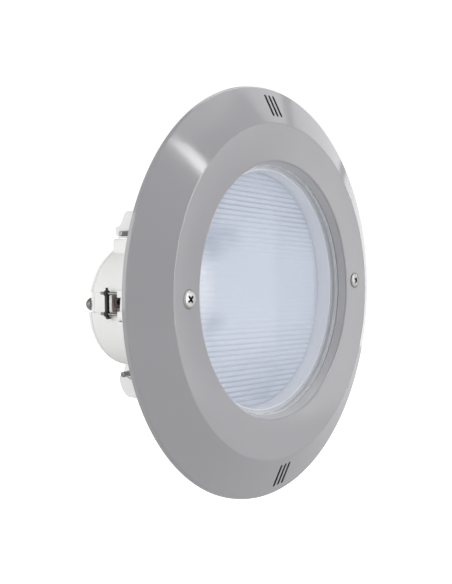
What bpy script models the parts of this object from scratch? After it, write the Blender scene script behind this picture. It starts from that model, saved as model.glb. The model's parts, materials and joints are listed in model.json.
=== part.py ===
"""Underwater pool light: faceplate, sealed lamp, offset rear housing with two spring latches.

Metres, +Z up. The origin is the centre of the faceplate's rear rim, which lies on the pool wall.
The front looks along -Y and the lamp reaches along +Y into its niche. Dimensions are in millimetres
and MM scales them where the geometry is made.
"""

from math import cos, radians, sin

import bmesh
import bpy
from mathutils import Matrix, Vector

MM = 0.001
GAP = 0.3                       # air left between touching pieces

# Faceplate
FACE_RADIUS = 140.0
RIM_HEIGHT, RIM_FRONT_RADIUS, RIM_INNER = 2.7, 139.3, 135.5
RIDGE_RADIUS, RIDGE_Y = 113.3, -15.1
LIP_RADIUS, LIP_Y = 87.6, -13.0
THROAT_RADIUS, THROAT_Y = 84.9, -7.0
PLATE_WALL = 2.8
FACE_SCREW_RADIUS, FACE_SCREW_TIP = 98.6, 1.0
SCREW_BOSS_RADIUS, SCREW_BOSS_END = 8.0, -8.8
SLOT_RADIUS, SLOT_LENGTH, SLOT_WIDTH, SLOT_PITCH = 126.3, 15.6, 2.0, 4.8

# Lens, clamp ring and bowl, all on the faceplate's axis
LENS_RADIUS, LENS_FLANGE, LENS_FRONT, LENS_CROWN, LENS_BACK = 84.4, 92.0, -6.3, -8.4, -1.6
CLAMP_INNER, CLAMP_RADIUS, CLAMP_FRONT, CLAMP_SEAT = 85.0, 98.5, -6.6, -4.3
CLAMP_SCREW_RADIUS = 95.5
CLAMP_SCREW_ANGLES = [30 + 60 * i for i in range(6)]
BOWL_FRONT, BOWL_FLANGE_BACK, BOWL_BACK = 1.6, 6.2, 60.0
BOWL_RADIUS, BOWL_BACK_RADIUS, BOWL_INNER = 88.0, 66.0, 84.0
POST_RADIUS, POST_TOP = 6.0, -8.4
COLLAR_INNER, LEDGE_Y = 82.0, 11.0
PRISM_RADIUS, PRISM_THICKNESS = 81.6, 2.5
REFLECTOR_BACK = 43.5
BOARD_RADIUS, BOARD_Y, BOARD_THICKNESS = 50.0, 45.1, 1.6
SINK_PLATE_Y, SINK_BACK = 47.0, 55.7
LED_CIRCLE, LED_COUNT, LED_RADIUS = 32.0, 6, 4.2
BOARD_SCREW_RADIUS = 44.0
BOARD_SCREW_ANGLES = [90, 210, 330]
LEAD_HOLE_Z = -16.5

# Rear housing, whose axis lies below the faceplate's
DRUM_Z, DRUM_RADIUS, DRUM_BORE = -15.3, 47.7, 44.2
FLANGE_FRONT, FLANGE_BACK = 60.3, 64.3
DRUM_END, END_PLATE_Y, END_PLATE_BORE = 127.0, 122.5, 31.0
COVER_FRONT, COVER_BACK = 127.4, 130.2
HOUSING_SCREW_RADIUS = 57.0
HOUSING_SCREW_ANGLES = [45, 135, 192, -12]
COVER_SCREW_RADIUS, COVER_SCREW_HEAD, COVER_SCREW_DOME = 41.5, 5.0, 6.4
COVER_SCREW_ANGLES = [86.5, 176.5, 266.5, 356.5]

# Cable pocket and groove on the -X side
POCKET_Z, POCKET_HEIGHT, POCKET_Y0, POCKET_Y1, POCKET_FLOOR = -10.2, 15.0, 96.6, 108.2, -40.0
POCKET_WALL, POCKET_CORNER = 2.2, 2.0
CLEAR_OF_DRUM, LUG_HALF = 60.0, 2.6
GROOVE_FLOOR, GROOVE_HEIGHT = -44.6, 15.6
GLAND_Y, GLAND_RADIUS, GLAND_STEM = 102.4, 4.6, 3.6
ROD_X, ROD_MID_Z, ROD_OFFSET, ROD_RADIUS, ROD_Y0, ROD_Y1 = -50.2, -10.9, 7.5, 1.15, 90.6, 113.4
BAND_Y0, BAND_Y1, BAND_EYE = 105.7, 109.0, 2.2
DRAIN_Z, DRAIN_Y0, DRAIN_Y1, DRAIN_WIDTH = -23.4, 84.0, 98.6, 1.0

# Latches
PIVOT_Y, TOP_PIVOT_Z, BOTTOM_PIVOT_Z = 121.5, 40.1, -67.7
PIN_RADIUS, PIN_HALF, HUB_RADIUS = 2.1, 22.0, 3.7
LATCH_HALF, ARM_INNER, SPRING_SPACE = 14.0, 9.9, 4.4
SADDLE_HALF, SADDLE_TOP, SADDLE_FRONT = 25.0, 35.9, 92.0
SPRING_RADIUS, SPRING_WIRE, SPRING_TURNS = 3.0, 0.4, 3

# Driver electronics inside the drum
DRIVER_Y0, DRIVER_Y1, DRIVER_HALF, DRIVER_Z = 70.0, 116.0, 30.0, -31.0

ABS_GREY = ("grey_abs", (0.44, 0.44, 0.46), 0.35, 0.0)
WHITE = ("white_abs", (0.80, 0.80, 0.79), 0.45, 0.0)
LATCH_WHITE = ("latch_white", (0.78, 0.78, 0.78), 0.5, 0.0)
BLACK_RUBBER = ("black_rubber", (0.015, 0.015, 0.016), 0.7, 0.0)
SILICONE = ("grey_silicone", (0.55, 0.56, 0.58), 0.6, 0.0)
CLEAR = ("clear_polycarbonate", (0.78, 0.84, 0.92), 0.08, 0.0)
PRISM = ("prismatic_acrylic", (0.66, 0.72, 0.84), 0.2, 0.0)
STEEL = ("stainless_steel", (0.62, 0.61, 0.59), 0.25, 1.0)
BRASS = ("brass", (0.72, 0.53, 0.22), 0.3, 1.0)
ALUMINIUM = ("aluminium", (0.70, 0.71, 0.72), 0.4, 1.0)
GREEN_BOARD = ("circuit_board", (0.05, 0.22, 0.11), 0.5, 0.0)
WHITE_BOARD = ("white_circuit_board", (0.85, 0.85, 0.84), 0.5, 0.0)
PHOSPHOR = ("led_phosphor", (0.85, 0.75, 0.25), 0.3, 0.0)
FERRITE = ("dark_component", (0.05, 0.05, 0.06), 0.5, 0.0)
GREEN_PLASTIC = ("green_plastic", (0.04, 0.30, 0.14), 0.4, 0.0)
RED_WIRE = ("red_insulation", (0.55, 0.03, 0.02), 0.45, 0.0)
BLACK_WIRE = ("black_insulation", (0.02, 0.02, 0.02), 0.45, 0.0)

# An outline drawn as (y, z) has its local X, Y and Z turned to the world's Y, Z and X
SIDE_ON = Matrix(((0, 0, 1, 0), (1, 0, 0, 0), (0, 1, 0, 0), (0, 0, 0, 1)))


def new_collection(name):
    collection = bpy.data.collections.new(name)
    bpy.context.scene.collection.children.link(collection)
    return collection


for leftover in list(bpy.data.objects):
    bpy.data.objects.remove(leftover, do_unlink=True)
PARTS = new_collection("underwater_pool_light")
HELPERS = new_collection("cutters")


def material(finish):
    name, colour, roughness, metallic = finish
    found = bpy.data.materials.get(name)
    if found:
        return found
    made = bpy.data.materials.new(name)
    made.use_nodes = True
    shader = made.node_tree.nodes["Principled BSDF"]
    shader.inputs["Base Color"].default_value = (*colour, 1.0)
    shader.inputs["Roughness"].default_value = roughness
    shader.inputs["Metallic"].default_value = metallic
    made.diffuse_color = (*colour, 1.0)
    return made


def place(name, data, finish):
    """An object in the parts' collection or, with no finish, a helper that isn't rendered."""
    obj = bpy.data.objects.new(name, data)
    if finish:
        PARTS.objects.link(obj)
        data.materials.append(material(finish))
    else:
        HELPERS.objects.link(obj)
        obj.hide_render = True
        obj.display_type = "WIRE"
    return obj


def turned(name, profile, finish=None, centre=(0.0, 0.0), steps=36):
    """A profile of (radius, y), rear to front down its outer side, turned about a line along Y."""
    mesh = bpy.data.meshes.new(name)
    last = len(profile) - 1
    edges = [(i, i + 1) for i in range(last)]
    if profile[0][0] > 0:
        edges.append((last, 0))
    mesh.from_pydata([(r * MM, 0.0, y * MM) for r, y in profile], edges, [])
    obj = place(name, mesh, finish)
    obj.location = (centre[0] * MM, 0.0, centre[1] * MM)
    obj.rotation_euler = (radians(-90), 0.0, 0.0)
    screw = obj.modifiers.new("turn", "SCREW")
    screw.steps = screw.render_steps = steps
    screw.use_merge_vertices = True
    screw.merge_threshold = 0.00001
    screw.use_smooth_shade = True
    return obj


def cylinder(name, radius, start, end, finish=None, sides=24):
    """A cylinder between two points."""
    start, end = Vector(start), Vector(end)
    shape = bmesh.new()
    bmesh.ops.create_cone(
        shape,
        cap_ends=True,
        segments=sides,
        radius1=radius * MM,
        radius2=radius * MM,
        depth=(end - start).length * MM,
    )
    mesh = bpy.data.meshes.new(name)
    shape.to_mesh(mesh)
    shape.free()
    obj = place(name, mesh, finish)
    obj.location = (start + end) / 2 * MM
    obj.rotation_euler = (end - start).to_track_quat("Z", "Y").to_euler()
    return obj


def box(name, low, high, finish=None):
    """A box between its lowest and highest corners."""
    low, high = Vector(low), Vector(high)
    shape = bmesh.new()
    bmesh.ops.create_cube(shape, size=1.0)
    bmesh.ops.scale(shape, vec=(high - low) * MM, verts=shape.verts)
    mesh = bpy.data.meshes.new(name)
    shape.to_mesh(mesh)
    shape.free()
    obj = place(name, mesh, finish)
    obj.location = (low + high) / 2 * MM
    return obj


def curve_as_mesh(curve, name, matrix, finish):
    """The solid of a curve, as a mesh object with its caps welded; the curve is removed."""
    bpy.context.scene.collection.objects.link(curve)
    curve.matrix_world = matrix
    bpy.context.view_layer.update()
    graph = bpy.context.evaluated_depsgraph_get()
    mesh = bpy.data.meshes.new_from_object(curve.evaluated_get(graph))
    bpy.data.objects.remove(curve, do_unlink=True)
    mesh.materials.clear()
    shape = bmesh.new()
    shape.from_mesh(mesh)
    bmesh.ops.remove_doubles(shape, verts=shape.verts, dist=0.000001)
    bmesh.ops.recalc_face_normals(shape, faces=shape.faces)
    shape.to_mesh(mesh)
    shape.free()
    mesh.name = name
    obj = place(name, mesh, finish)
    obj.matrix_world = matrix
    return obj


def slab(name, outline, x_low, x_high, origin, finish=None):
    """An outline of (y, z) about origin (y, z), filled and extruded from x_low to x_high."""
    data = bpy.data.curves.new(name, "CURVE")
    data.dimensions = "2D"
    data.fill_mode = "BOTH"
    data.extrude = (x_high - x_low) / 2 * MM
    spline = data.splines.new("POLY")
    spline.points.add(len(outline) - 1)
    for point, (y, z) in zip(spline.points, outline):
        point.co = (y * MM, z * MM, 0.0, 1.0)
    spline.use_cyclic_u = True
    middle = Vector(((x_low + x_high) / 2, origin[0], origin[1])) * MM
    matrix = Matrix.Translation(middle) @ SIDE_ON
    return curve_as_mesh(bpy.data.objects.new(name, data), name, matrix, finish)


def wire(name, points, radius, finish):
    """A round wire through the points, a curve that keeps its bevel."""
    data = bpy.data.curves.new(name, "CURVE")
    data.dimensions = "3D"
    data.bevel_depth = radius * MM
    data.bevel_resolution = 2
    data.use_fill_caps = True
    spline = data.splines.new("POLY")
    spline.points.add(len(points) - 1)
    for point, place_mm in zip(spline.points, points):
        point.co = (*(Vector(place_mm) * MM), 1.0)
    return place(name, data, finish)


def boolean(obj, others, operation):
    for other in others:
        step = obj.modifiers.new(other.name, "BOOLEAN")
        step.operation = operation
        step.solver = "EXACT"
        step.object = other


def cut(obj, *cutters):
    boolean(obj, cutters, "DIFFERENCE")


def unite(obj, *others):
    boolean(obj, others, "UNION")


def polar(radius, degrees, centre_z=0.0):
    """(x, z) of a point on a circle about the line x = 0, z = centre_z."""
    return radius * cos(radians(degrees)), centre_z + radius * sin(radians(degrees))


def arc(radius, start, end, count, centre=(0.0, 0.0)):
    """Points of an arc, from start to end in degrees, in the plane of an outline."""
    angles = [radians(start + (end - start) * i / (count - 1)) for i in range(count)]
    return [(centre[0] + radius * cos(a), centre[1] + radius * sin(a)) for a in angles]


def round_screw(name, x, z, seat, tip, head, shank, dome, steps=8):
    """A screw along Y whose low domed head stands away from its tip, seated at y = seat."""
    away = -1 if tip > seat else 1
    profile = [(0.0, tip), (shank, tip), (shank, seat), (head, seat)]
    profile += [(head, seat + away * dome * 0.35), (head * 0.72, seat + away * dome * 0.85)]
    profile += [(0.0, seat + away * dome)]
    if away > 0:
        profile.reverse()
    return turned(name, profile, STEEL, (x, z), steps)


def holes(obj, label, circle, angles, radius, y_low, y_high, centre_z=0.0, sides=8):
    """Round holes along Y, on a circle."""
    for i, degrees in enumerate(angles):
        x, z = polar(circle, degrees, centre_z)
        cut(obj, cylinder(f"{label}_{i + 1}", radius, (x, y_low, z), (x, y_high, z), sides=sides))


def ridge_line(radius, offset=0.0):
    """y of the ring's flat face at a radius, moved back by offset."""
    share = (radius - LIP_RADIUS) / (RIDGE_RADIUS - LIP_RADIUS)
    return LIP_Y + share * (RIDGE_Y - LIP_Y) + offset


def make_faceplate():
    wall = PLATE_WALL
    plate = turned(
        "faceplate",
        [
            (FACE_RADIUS, 0.0),
            (RIM_FRONT_RADIUS, -RIM_HEIGHT),
            (RIDGE_RADIUS + 1.3, RIDGE_Y + 0.75),
            (RIDGE_RADIUS - 1.4, RIDGE_Y - 0.05),
            (LIP_RADIUS + 0.8, LIP_Y),
            (LIP_RADIUS - 0.2, LIP_Y + 0.8),
            (THROAT_RADIUS, THROAT_Y),
            (THROAT_RADIUS + wall, THROAT_Y),
            (LIP_RADIUS + wall, ridge_line(LIP_RADIUS, wall)),
            (RIDGE_RADIUS - 1.3, ridge_line(RIDGE_RADIUS, wall)),
            (RIM_INNER, -1.2),
            (RIM_INNER, 0.0),
        ],
        ABS_GREY,
        steps=60,
    )
    for side, name in ((-1, "left"), (1, "right")):
        x = side * FACE_SCREW_RADIUS
        boss = cylinder(f"screw_boss_{name}", SCREW_BOSS_RADIUS, (x, -12.0, 0), (x, SCREW_BOSS_END, 0))
        unite(plate, boss)
        seat = turned(
            f"countersink_{name}",
            [(0.0, -5.0), (3.4, -5.0), (3.4, -11.2), (5.8, -13.6), (5.8, -17.0), (0.0, -17.0)],
            centre=(x, 0.0),
            steps=20,
        )
        cut(plate, seat)
    half = SLOT_WIDTH / 2
    for top in (1, -1):
        for i in (-1, 0, 1):
            x = i * SLOT_PITCH
            ends = sorted(top * (SLOT_RADIUS + s * SLOT_LENGTH / 2) for s in (-1, 1))
            name = f"slot_{'top' if top > 0 else 'bottom'}_{i + 2}"
            cut(plate, box(name, (x - half, -20.0, ends[0]), (x + half, 4.0, ends[1])))


def make_face_screws():
    """Raised countersunk screws, and the brass inserts they enter."""
    for side, name in ((-1, "left"), (1, "right")):
        x = side * FACE_SCREW_RADIUS
        turned(
            f"face_screw_{name}",
            [
                (0.0, FACE_SCREW_TIP),
                (2.2, FACE_SCREW_TIP),
                (3.0, FACE_SCREW_TIP - 1.0),
                (3.0, -11.4),
                (5.4, -13.8),
                (5.4, -14.2),
                (3.6, -15.2),
                (0.0, -15.6),
            ],
            STEEL,
            centre=(x, 0.0),
            steps=20,
        )
        turned(
            f"face_insert_{name}",
            [(4.6, 4.0), (4.6, -8.1), (3.3, -8.1), (3.3, 4.0)],
            BRASS,
            centre=(x, 0.0),
            steps=16,
        )


def make_lens():
    turned(
        "lens",
        [
            (0.0, LENS_BACK),
            (LENS_FLANGE, LENS_BACK),
            (LENS_FLANGE, CLAMP_SEAT + GAP),
            (LENS_RADIUS, CLAMP_SEAT + GAP),
            (LENS_RADIUS, LENS_FRONT + 0.5),
            (LENS_RADIUS - 0.9, LENS_FRONT - 0.2),
            (60.0, LENS_CROWN + 1.05),
            (30.0, LENS_CROWN + 0.26),
            (0.0, LENS_CROWN),
        ],
        CLEAR,
    )
    turned(
        "lens_gasket",
        [
            (LENS_FLANGE, BOWL_FRONT - GAP),
            (LENS_FLANGE, LENS_BACK + GAP),
            (CLAMP_INNER + 0.6, LENS_BACK + GAP),
            (CLAMP_INNER + 0.6, BOWL_FRONT - GAP),
        ],
        SILICONE,
    )


def make_clamp_ring():
    """An angle-section ring over the lens flange, notched for the two posts."""
    ring = turned(
        "clamp_ring",
        [
            (CLAMP_RADIUS, BOWL_FRONT - GAP),
            (CLAMP_RADIUS, CLAMP_FRONT),
            (CLAMP_INNER, CLAMP_FRONT),
            (CLAMP_INNER, CLAMP_SEAT),
            (LENS_FLANGE + 0.5, CLAMP_SEAT),
            (LENS_FLANGE + 0.5, BOWL_FRONT - GAP),
        ],
        WHITE,
    )
    for side in (-1, 1):
        x = side * FACE_SCREW_RADIUS
        notch = cylinder(f"post_notch_{side + 2}", POST_RADIUS + 0.5, (x, -12.0, 0), (x, 4.0, 0))
        cut(ring, notch)
    holes(ring, "clamp_hole", CLAMP_SCREW_RADIUS, CLAMP_SCREW_ANGLES, 2.3, -9.0, 4.0)
    for i, degrees in enumerate(CLAMP_SCREW_ANGLES):
        x, z = polar(CLAMP_SCREW_RADIUS, degrees)
        round_screw(f"clamp_screw_{i + 1}", x, z, CLAMP_FRONT - GAP, 5.0, 3.3, 2.0, 1.9)


def make_bowl():
    bowl = turned(
        "lamp_body",
        [
            (0.0, BOWL_BACK),
            (BOWL_BACK_RADIUS, BOWL_BACK),
            (BOWL_BACK_RADIUS, BOWL_BACK - 3.5),
            (BOWL_RADIUS, 41.0),
            (BOWL_RADIUS, BOWL_FLANGE_BACK),
            (CLAMP_RADIUS, BOWL_FLANGE_BACK),
            (CLAMP_RADIUS, BOWL_FRONT),
            (BOWL_INNER, BOWL_FRONT),
            (BOWL_INNER, 13.0),
            (BOWL_INNER - 2.0, 13.0),
            (BOWL_INNER - 2.0, 16.0),
            (BOWL_INNER + 0.5, 19.0),
            (BOWL_INNER + 0.5, 39.0),
            (62.5, 52.5),
            (62.5, BOWL_BACK - 4.0),
            (0.0, BOWL_BACK - 4.0),
        ],
        WHITE,
    )
    for side in (-1, 1):
        x = side * FACE_SCREW_RADIUS
        post = cylinder(f"post_{side + 2}", POST_RADIUS, (x, POST_TOP, 0), (x, 5.6, 0))
        web = box(
            f"post_web_{side + 2}",
            (min(x, side * 96), BOWL_FRONT + 0.4, -5.0),
            (max(x, side * 96), 5.8, 5.0),
        )
        unite(bowl, post, web)
        cut(bowl, cylinder(f"insert_bore_{side + 2}", 4.9, (x, -12.0, 0), (x, 4.3, 0), sides=16))
    holes(bowl, "clamp_thread", CLAMP_SCREW_RADIUS, CLAMP_SCREW_ANGLES, 2.3, -2.0, 5.4)
    for i, degrees in enumerate(HOUSING_SCREW_ANGLES):
        x, z = polar(HOUSING_SCREW_RADIUS, degrees)
        unite(bowl, cylinder(f"bowl_boss_{i + 1}", 4.4, (x, 49.5, z), (x, 58.0, z), sides=16))
    holes(bowl, "housing_thread", HOUSING_SCREW_RADIUS, HOUSING_SCREW_ANGLES, 2.3, 51.5, 62.0)
    cut(bowl, cylinder("wire_port", 12.0, (0, 50, DRUM_Z), (0, 64, DRUM_Z), sides=24))


def make_optics():
    """Reflector with a white collar, and the prism plate on its ledge."""
    reflector = turned(
        "reflector",
        [
            (0.0, REFLECTOR_BACK),
            (BOARD_RADIUS + 3.0, REFLECTOR_BACK),
            (BOARD_RADIUS + 4.6, REFLECTOR_BACK - 0.9),
            (80.3, 14.2),
            (80.3, LEDGE_Y + 1.7),
            (COLLAR_INNER + 1.4, LEDGE_Y + 1.7),
            (COLLAR_INNER + 1.4, LENS_BACK + GAP),
            (COLLAR_INNER, LENS_BACK + GAP),
            (COLLAR_INNER, LEDGE_Y),
            (79.0, LEDGE_Y),
            (79.0, LEDGE_Y + 1.5),
            (BOARD_RADIUS + 2.2, REFLECTOR_BACK - 1.6),
            (0.0, REFLECTOR_BACK - 1.6),
        ],
        WHITE,
    )
    radius = LED_RADIUS + 1.0
    holes(reflector, "led_opening", LED_CIRCLE, led_angles(), radius, 38.0, 46.0, sides=12)
    cut(reflector, cylinder("led_opening_0", radius, (0, 38, 0), (0, 46, 0), sides=12))
    turned(
        "prism_plate",
        [
            (0.0, LEDGE_Y - GAP),
            (PRISM_RADIUS, LEDGE_Y - GAP),
            (PRISM_RADIUS, LEDGE_Y - GAP - PRISM_THICKNESS),
            (0.0, LEDGE_Y - GAP - PRISM_THICKNESS),
        ],
        PRISM,
    )


def led_angles():
    return [30 + 360 * i / LED_COUNT for i in range(LED_COUNT)]


def make_light_engine():
    """Board with seven LEDs, on a finned plate inside the bowl."""
    back = BOARD_Y + BOARD_THICKNESS
    board = cylinder("led_board", BOARD_RADIUS, (0, BOARD_Y, 0), (0, back, 0), WHITE_BOARD, 32)
    holes(board, "board_hole", BOARD_SCREW_RADIUS, BOARD_SCREW_ANGLES, 1.9, 40.0, 50.0)
    places = [(0.0, 0.0)] + [polar(LED_CIRCLE, degrees) for degrees in led_angles()]
    for i, (x, z) in enumerate(places):
        turned(
            f"led_{i + 1}",
            [
                (0.0, BOARD_Y - GAP),
                (LED_RADIUS, BOARD_Y - GAP),
                (LED_RADIUS, BOARD_Y - 1.3),
                (LED_RADIUS * 0.8, BOARD_Y - 1.3),
                (LED_RADIUS * 0.62, BOARD_Y - 2.9),
                (0.0, BOARD_Y - 3.7),
            ],
            PHOSPHOR,
            centre=(x, z),
            steps=8,
        )
    plate_back = SINK_PLATE_Y + 3.0
    sink = cylinder("heat_sink", 49.0, (0, SINK_PLATE_Y, 0), (0, plate_back, 0), ALUMINIUM, 32)
    for i in range(-3, 4):
        x = i * 12.0
        reach = (47.0**2 - x * x) ** 0.5 - 1.5
        fin = box(f"fin_{i + 4}", (x - 1.2, plate_back - 1.0, -reach), (x + 1.2, SINK_BACK, reach))
        unite(sink, fin)
    cut(sink, cylinder("lead_hole", 4.2, (0, 44, LEAD_HOLE_Z), (0, 58, LEAD_HOLE_Z), sides=16))
    holes(sink, "sink_thread", BOARD_SCREW_RADIUS, BOARD_SCREW_ANGLES, 1.9, 44.0, 53.0)
    for i, degrees in enumerate(BOARD_SCREW_ANGLES):
        x, z = polar(BOARD_SCREW_RADIUS, degrees)
        round_screw(f"board_screw_{i + 1}", x, z, BOARD_Y - GAP, 51.0, 2.6, 1.5, 1.0)


def add_pocket(housing):
    """A blind pocket with the gland in its floor, and a groove for the cable back from it."""
    low, high = POCKET_Z - POCKET_HEIGHT / 2, POCKET_Z + POCKET_HEIGHT / 2
    skin = DRUM_RADIUS - POCKET_WALL
    body = box(
        "pocket_body",
        (-skin, POCKET_Y0 - POCKET_WALL, low - POCKET_WALL),
        (POCKET_FLOOR + POCKET_WALL, POCKET_Y1 + POCKET_WALL, high + POCKET_WALL),
    )
    half = GROOVE_HEIGHT / 2
    backing = box(
        "groove_backing",
        (-skin + 0.1, POCKET_Y1, ROD_MID_Z - half),
        (GROOVE_FLOOR + POCKET_WALL + 0.8, DRUM_END - 1, ROD_MID_Z + half),
    )
    unite(housing, body, backing)
    corners = []
    for y, z, start in (
        (POCKET_Y1, high, 0),
        (POCKET_Y0, high, 90),
        (POCKET_Y0, low, 180),
        (POCKET_Y1, low, 270),
    ):
        inward_y = POCKET_CORNER if y == POCKET_Y0 else -POCKET_CORNER
        inward_z = POCKET_CORNER if z == low else -POCKET_CORNER
        corners += arc(POCKET_CORNER, start, start + 90, 4, (y + inward_y, z + inward_z))
    cut(housing, slab("pocket_space", corners, -CLEAR_OF_DRUM, POCKET_FLOOR, (0.0, 0.0)))
    groove = box(
        "cable_groove",
        (-CLEAR_OF_DRUM, POCKET_Y1 - 1.0, ROD_MID_Z - half),
        (GROOVE_FLOOR, COVER_BACK + 10, ROD_MID_Z + half),
    )
    cut(housing, groove)
    ends = ((POCKET_FLOOR - 3, GLAND_Y, POCKET_Z), (POCKET_FLOOR + 10, GLAND_Y, POCKET_Z))
    cut(housing, cylinder("gland_port", GLAND_STEM + GAP, *ends, sides=16))
    for name, z in rod_heights():
        lug = box(
            f"rod_lug_{name}",
            (ROD_X - LUG_HALF, ROD_Y0 - LUG_HALF, z - LUG_HALF),
            (-DRUM_RADIUS + 4, ROD_Y0 + 4, z + LUG_HALF),
        )
        unite(housing, lug)
        bore = cylinder(
            f"rod_bore_{name}", ROD_RADIUS + GAP, (ROD_X, ROD_Y0 - GAP, z), (ROD_X, ROD_Y0 + 6, z), sides=12
        )
        cut(housing, bore)
    half = DRAIN_WIDTH / 2
    drain = box(
        "drain",
        (-DRUM_RADIUS - 2, DRAIN_Y0, DRAIN_Z - half),
        (-DRUM_RADIUS + 2.8, DRAIN_Y1, DRAIN_Z + half),
    )
    cut(housing, drain)


def rod_heights():
    return (("upper", ROD_MID_Z + ROD_OFFSET), ("lower", ROD_MID_Z - ROD_OFFSET))


def add_hinges(housing):
    """Saddle and two inner lugs on top, two outer ears below."""
    saddle = box(
        "saddle", (-SADDLE_HALF, SADDLE_FRONT, 18.0), (SADDLE_HALF, DRUM_END - 0.4, SADDLE_TOP)
    )
    bore = cylinder("saddle_bore", DRUM_BORE + 1, (0, 80, DRUM_Z), (0, 124, DRUM_Z), sides=40)
    cut(saddle, bore)
    unite(housing, saddle)
    lug = [(-HUB_RADIUS, -8.0), (HUB_RADIUS, -8.0)] + arc(HUB_RADIUS, 0, 180, 9)
    for name, side in (("left", -1), ("right", 1)):
        low, high = sorted((side * (SPRING_SPACE + 0.3), side * (ARM_INNER - 0.5)))
        unite(housing, slab(f"top_lug_{name}", lug, low, high, (PIVOT_Y, TOP_PIVOT_Z)))
    ear = [(5.2, 9.0), (5.2, 4.0), (6.4, 3.6), (6.4, -1.0), (5.0, -2.6)]
    ear += [(2.2, -2.9)] + arc(HUB_RADIUS, -90, -180, 6) + [(-HUB_RADIUS, 9.0)]
    for name, side in (("left", -1), ("right", 1)):
        low, high = sorted((side * (ARM_INNER + 0.3), side * LATCH_HALF))
        unite(housing, slab(f"bottom_ear_{name}", ear, low, high, (PIVOT_Y, BOTTOM_PIVOT_Z)))
    for z in (TOP_PIVOT_Z, BOTTOM_PIVOT_Z):
        name = f"pin_bore_{'top' if z > 0 else 'bottom'}"
        cut(housing, cylinder(name, PIN_RADIUS + 0.3, (-30, PIVOT_Y, z), (30, PIVOT_Y, z), sides=16))


def make_rear_housing():
    housing = turned(
        "rear_housing",
        [
            (DRUM_RADIUS, DRUM_END),
            (DRUM_RADIUS, FLANGE_BACK - 1.0),
            (DRUM_BORE, FLANGE_BACK - 1.0),
            (DRUM_BORE, END_PLATE_Y),
            (END_PLATE_BORE, END_PLATE_Y),
            (END_PLATE_BORE, DRUM_END),
        ],
        WHITE,
        centre=(0.0, DRUM_Z),
        steps=44,
    )
    flange = turned(
        "housing_flange",
        [
            (0.0, FLANGE_BACK),
            (BOWL_BACK_RADIUS, FLANGE_BACK),
            (BOWL_BACK_RADIUS, FLANGE_FRONT),
            (0.0, FLANGE_FRONT),
        ],
    )
    cut(flange, cylinder("flange_bore", DRUM_BORE - 1, (0, 50, DRUM_Z), (0, 70, DRUM_Z), sides=40))
    unite(housing, flange)
    seal_groove = turned(
        "seal_groove",
        [(48.6, 62.6), (48.6, 58.0), (45.2, 58.0), (45.2, 62.6)],
        centre=(0.0, DRUM_Z),
        steps=32,
    )
    cut(housing, seal_groove)
    holes(housing, "flange_hole", HOUSING_SCREW_RADIUS, HOUSING_SCREW_ANGLES, 2.3, 58.0, 66.0)
    for i, degrees in enumerate(COVER_SCREW_ANGLES):
        x, z = polar(COVER_SCREW_RADIUS, degrees, DRUM_Z)
        boss = cylinder(f"cover_boss_{i + 1}", 4.2, (x, 112.0, z), (x, 125.0, z), sides=16)
        unite(housing, boss)
    add_pocket(housing)
    add_hinges(housing)
    for name, side in (("left", -1), ("right", 1)):
        low, high = sorted((side * 28.0, side * 43.0))
        rail = box(f"board_rail_{name}", (low, 72.0, DRIVER_Z - 3.3), (high, 112.0, DRIVER_Z - GAP))
        unite(housing, rail)
    holes(
        housing, "cover_thread", COVER_SCREW_RADIUS, COVER_SCREW_ANGLES, 2.1, 114.0, 130.0, DRUM_Z
    )
    gasket_groove = turned(
        "gasket_groove",
        [(36.0, 130.0), (36.0, 125.4), (32.6, 125.4), (32.6, 130.0)],
        centre=(0.0, DRUM_Z),
    )
    cut(housing, gasket_groove)
    for i, degrees in enumerate(HOUSING_SCREW_ANGLES):
        x, z = polar(HOUSING_SCREW_RADIUS, degrees)
        round_screw(f"housing_screw_{i + 1}", x, z, FLANGE_BACK + GAP, 52.5, 3.5, 2.0, 2.4)
    turned(
        "body_seal",
        [(48.0, 62.2), (48.0, 60.4), (45.8, 60.4), (45.8, 62.2)],
        BLACK_RUBBER,
        centre=(0.0, DRUM_Z),
        steps=32,
    )


def make_rear_cover():
    cover = turned(
        "rear_cover",
        [
            (0.0, COVER_BACK),
            (DRUM_RADIUS - 1.0, COVER_BACK),
            (DRUM_RADIUS, COVER_BACK - 0.8),
            (DRUM_RADIUS, COVER_FRONT),
            (30.4, COVER_FRONT),
            (30.4, 124.0),
            (28.0, 124.0),
            (28.0, COVER_FRONT),
            (0.0, COVER_FRONT),
        ],
        WHITE,
        centre=(0.0, DRUM_Z),
        steps=44,
    )
    notch = box(
        "cover_notch",
        (-CLEAR_OF_DRUM, COVER_FRONT - 10, ROD_MID_Z - GROOVE_HEIGHT / 2),
        (GROOVE_FLOOR, COVER_BACK + 10, ROD_MID_Z + GROOVE_HEIGHT / 2),
    )
    cut(cover, notch)
    holes(cover, "cover_hole", COVER_SCREW_RADIUS, COVER_SCREW_ANGLES, 2.1, 120.0, 133.0, DRUM_Z)
    for i, degrees in enumerate(COVER_SCREW_ANGLES):
        x, z = polar(COVER_SCREW_RADIUS, degrees, DRUM_Z)
        seat = COVER_BACK + GAP
        round_screw(
            f"cover_screw_{i + 1}", x, z, seat, 116.0, COVER_SCREW_HEAD, 1.8, COVER_SCREW_DOME, 14
        )
    turned(
        "cover_gasket",
        [(35.7, 127.1), (35.7, 125.7), (32.9, 125.7), (32.9, 127.1)],
        BLACK_RUBBER,
        centre=(0.0, DRUM_Z),
        steps=32,
    )


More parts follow.
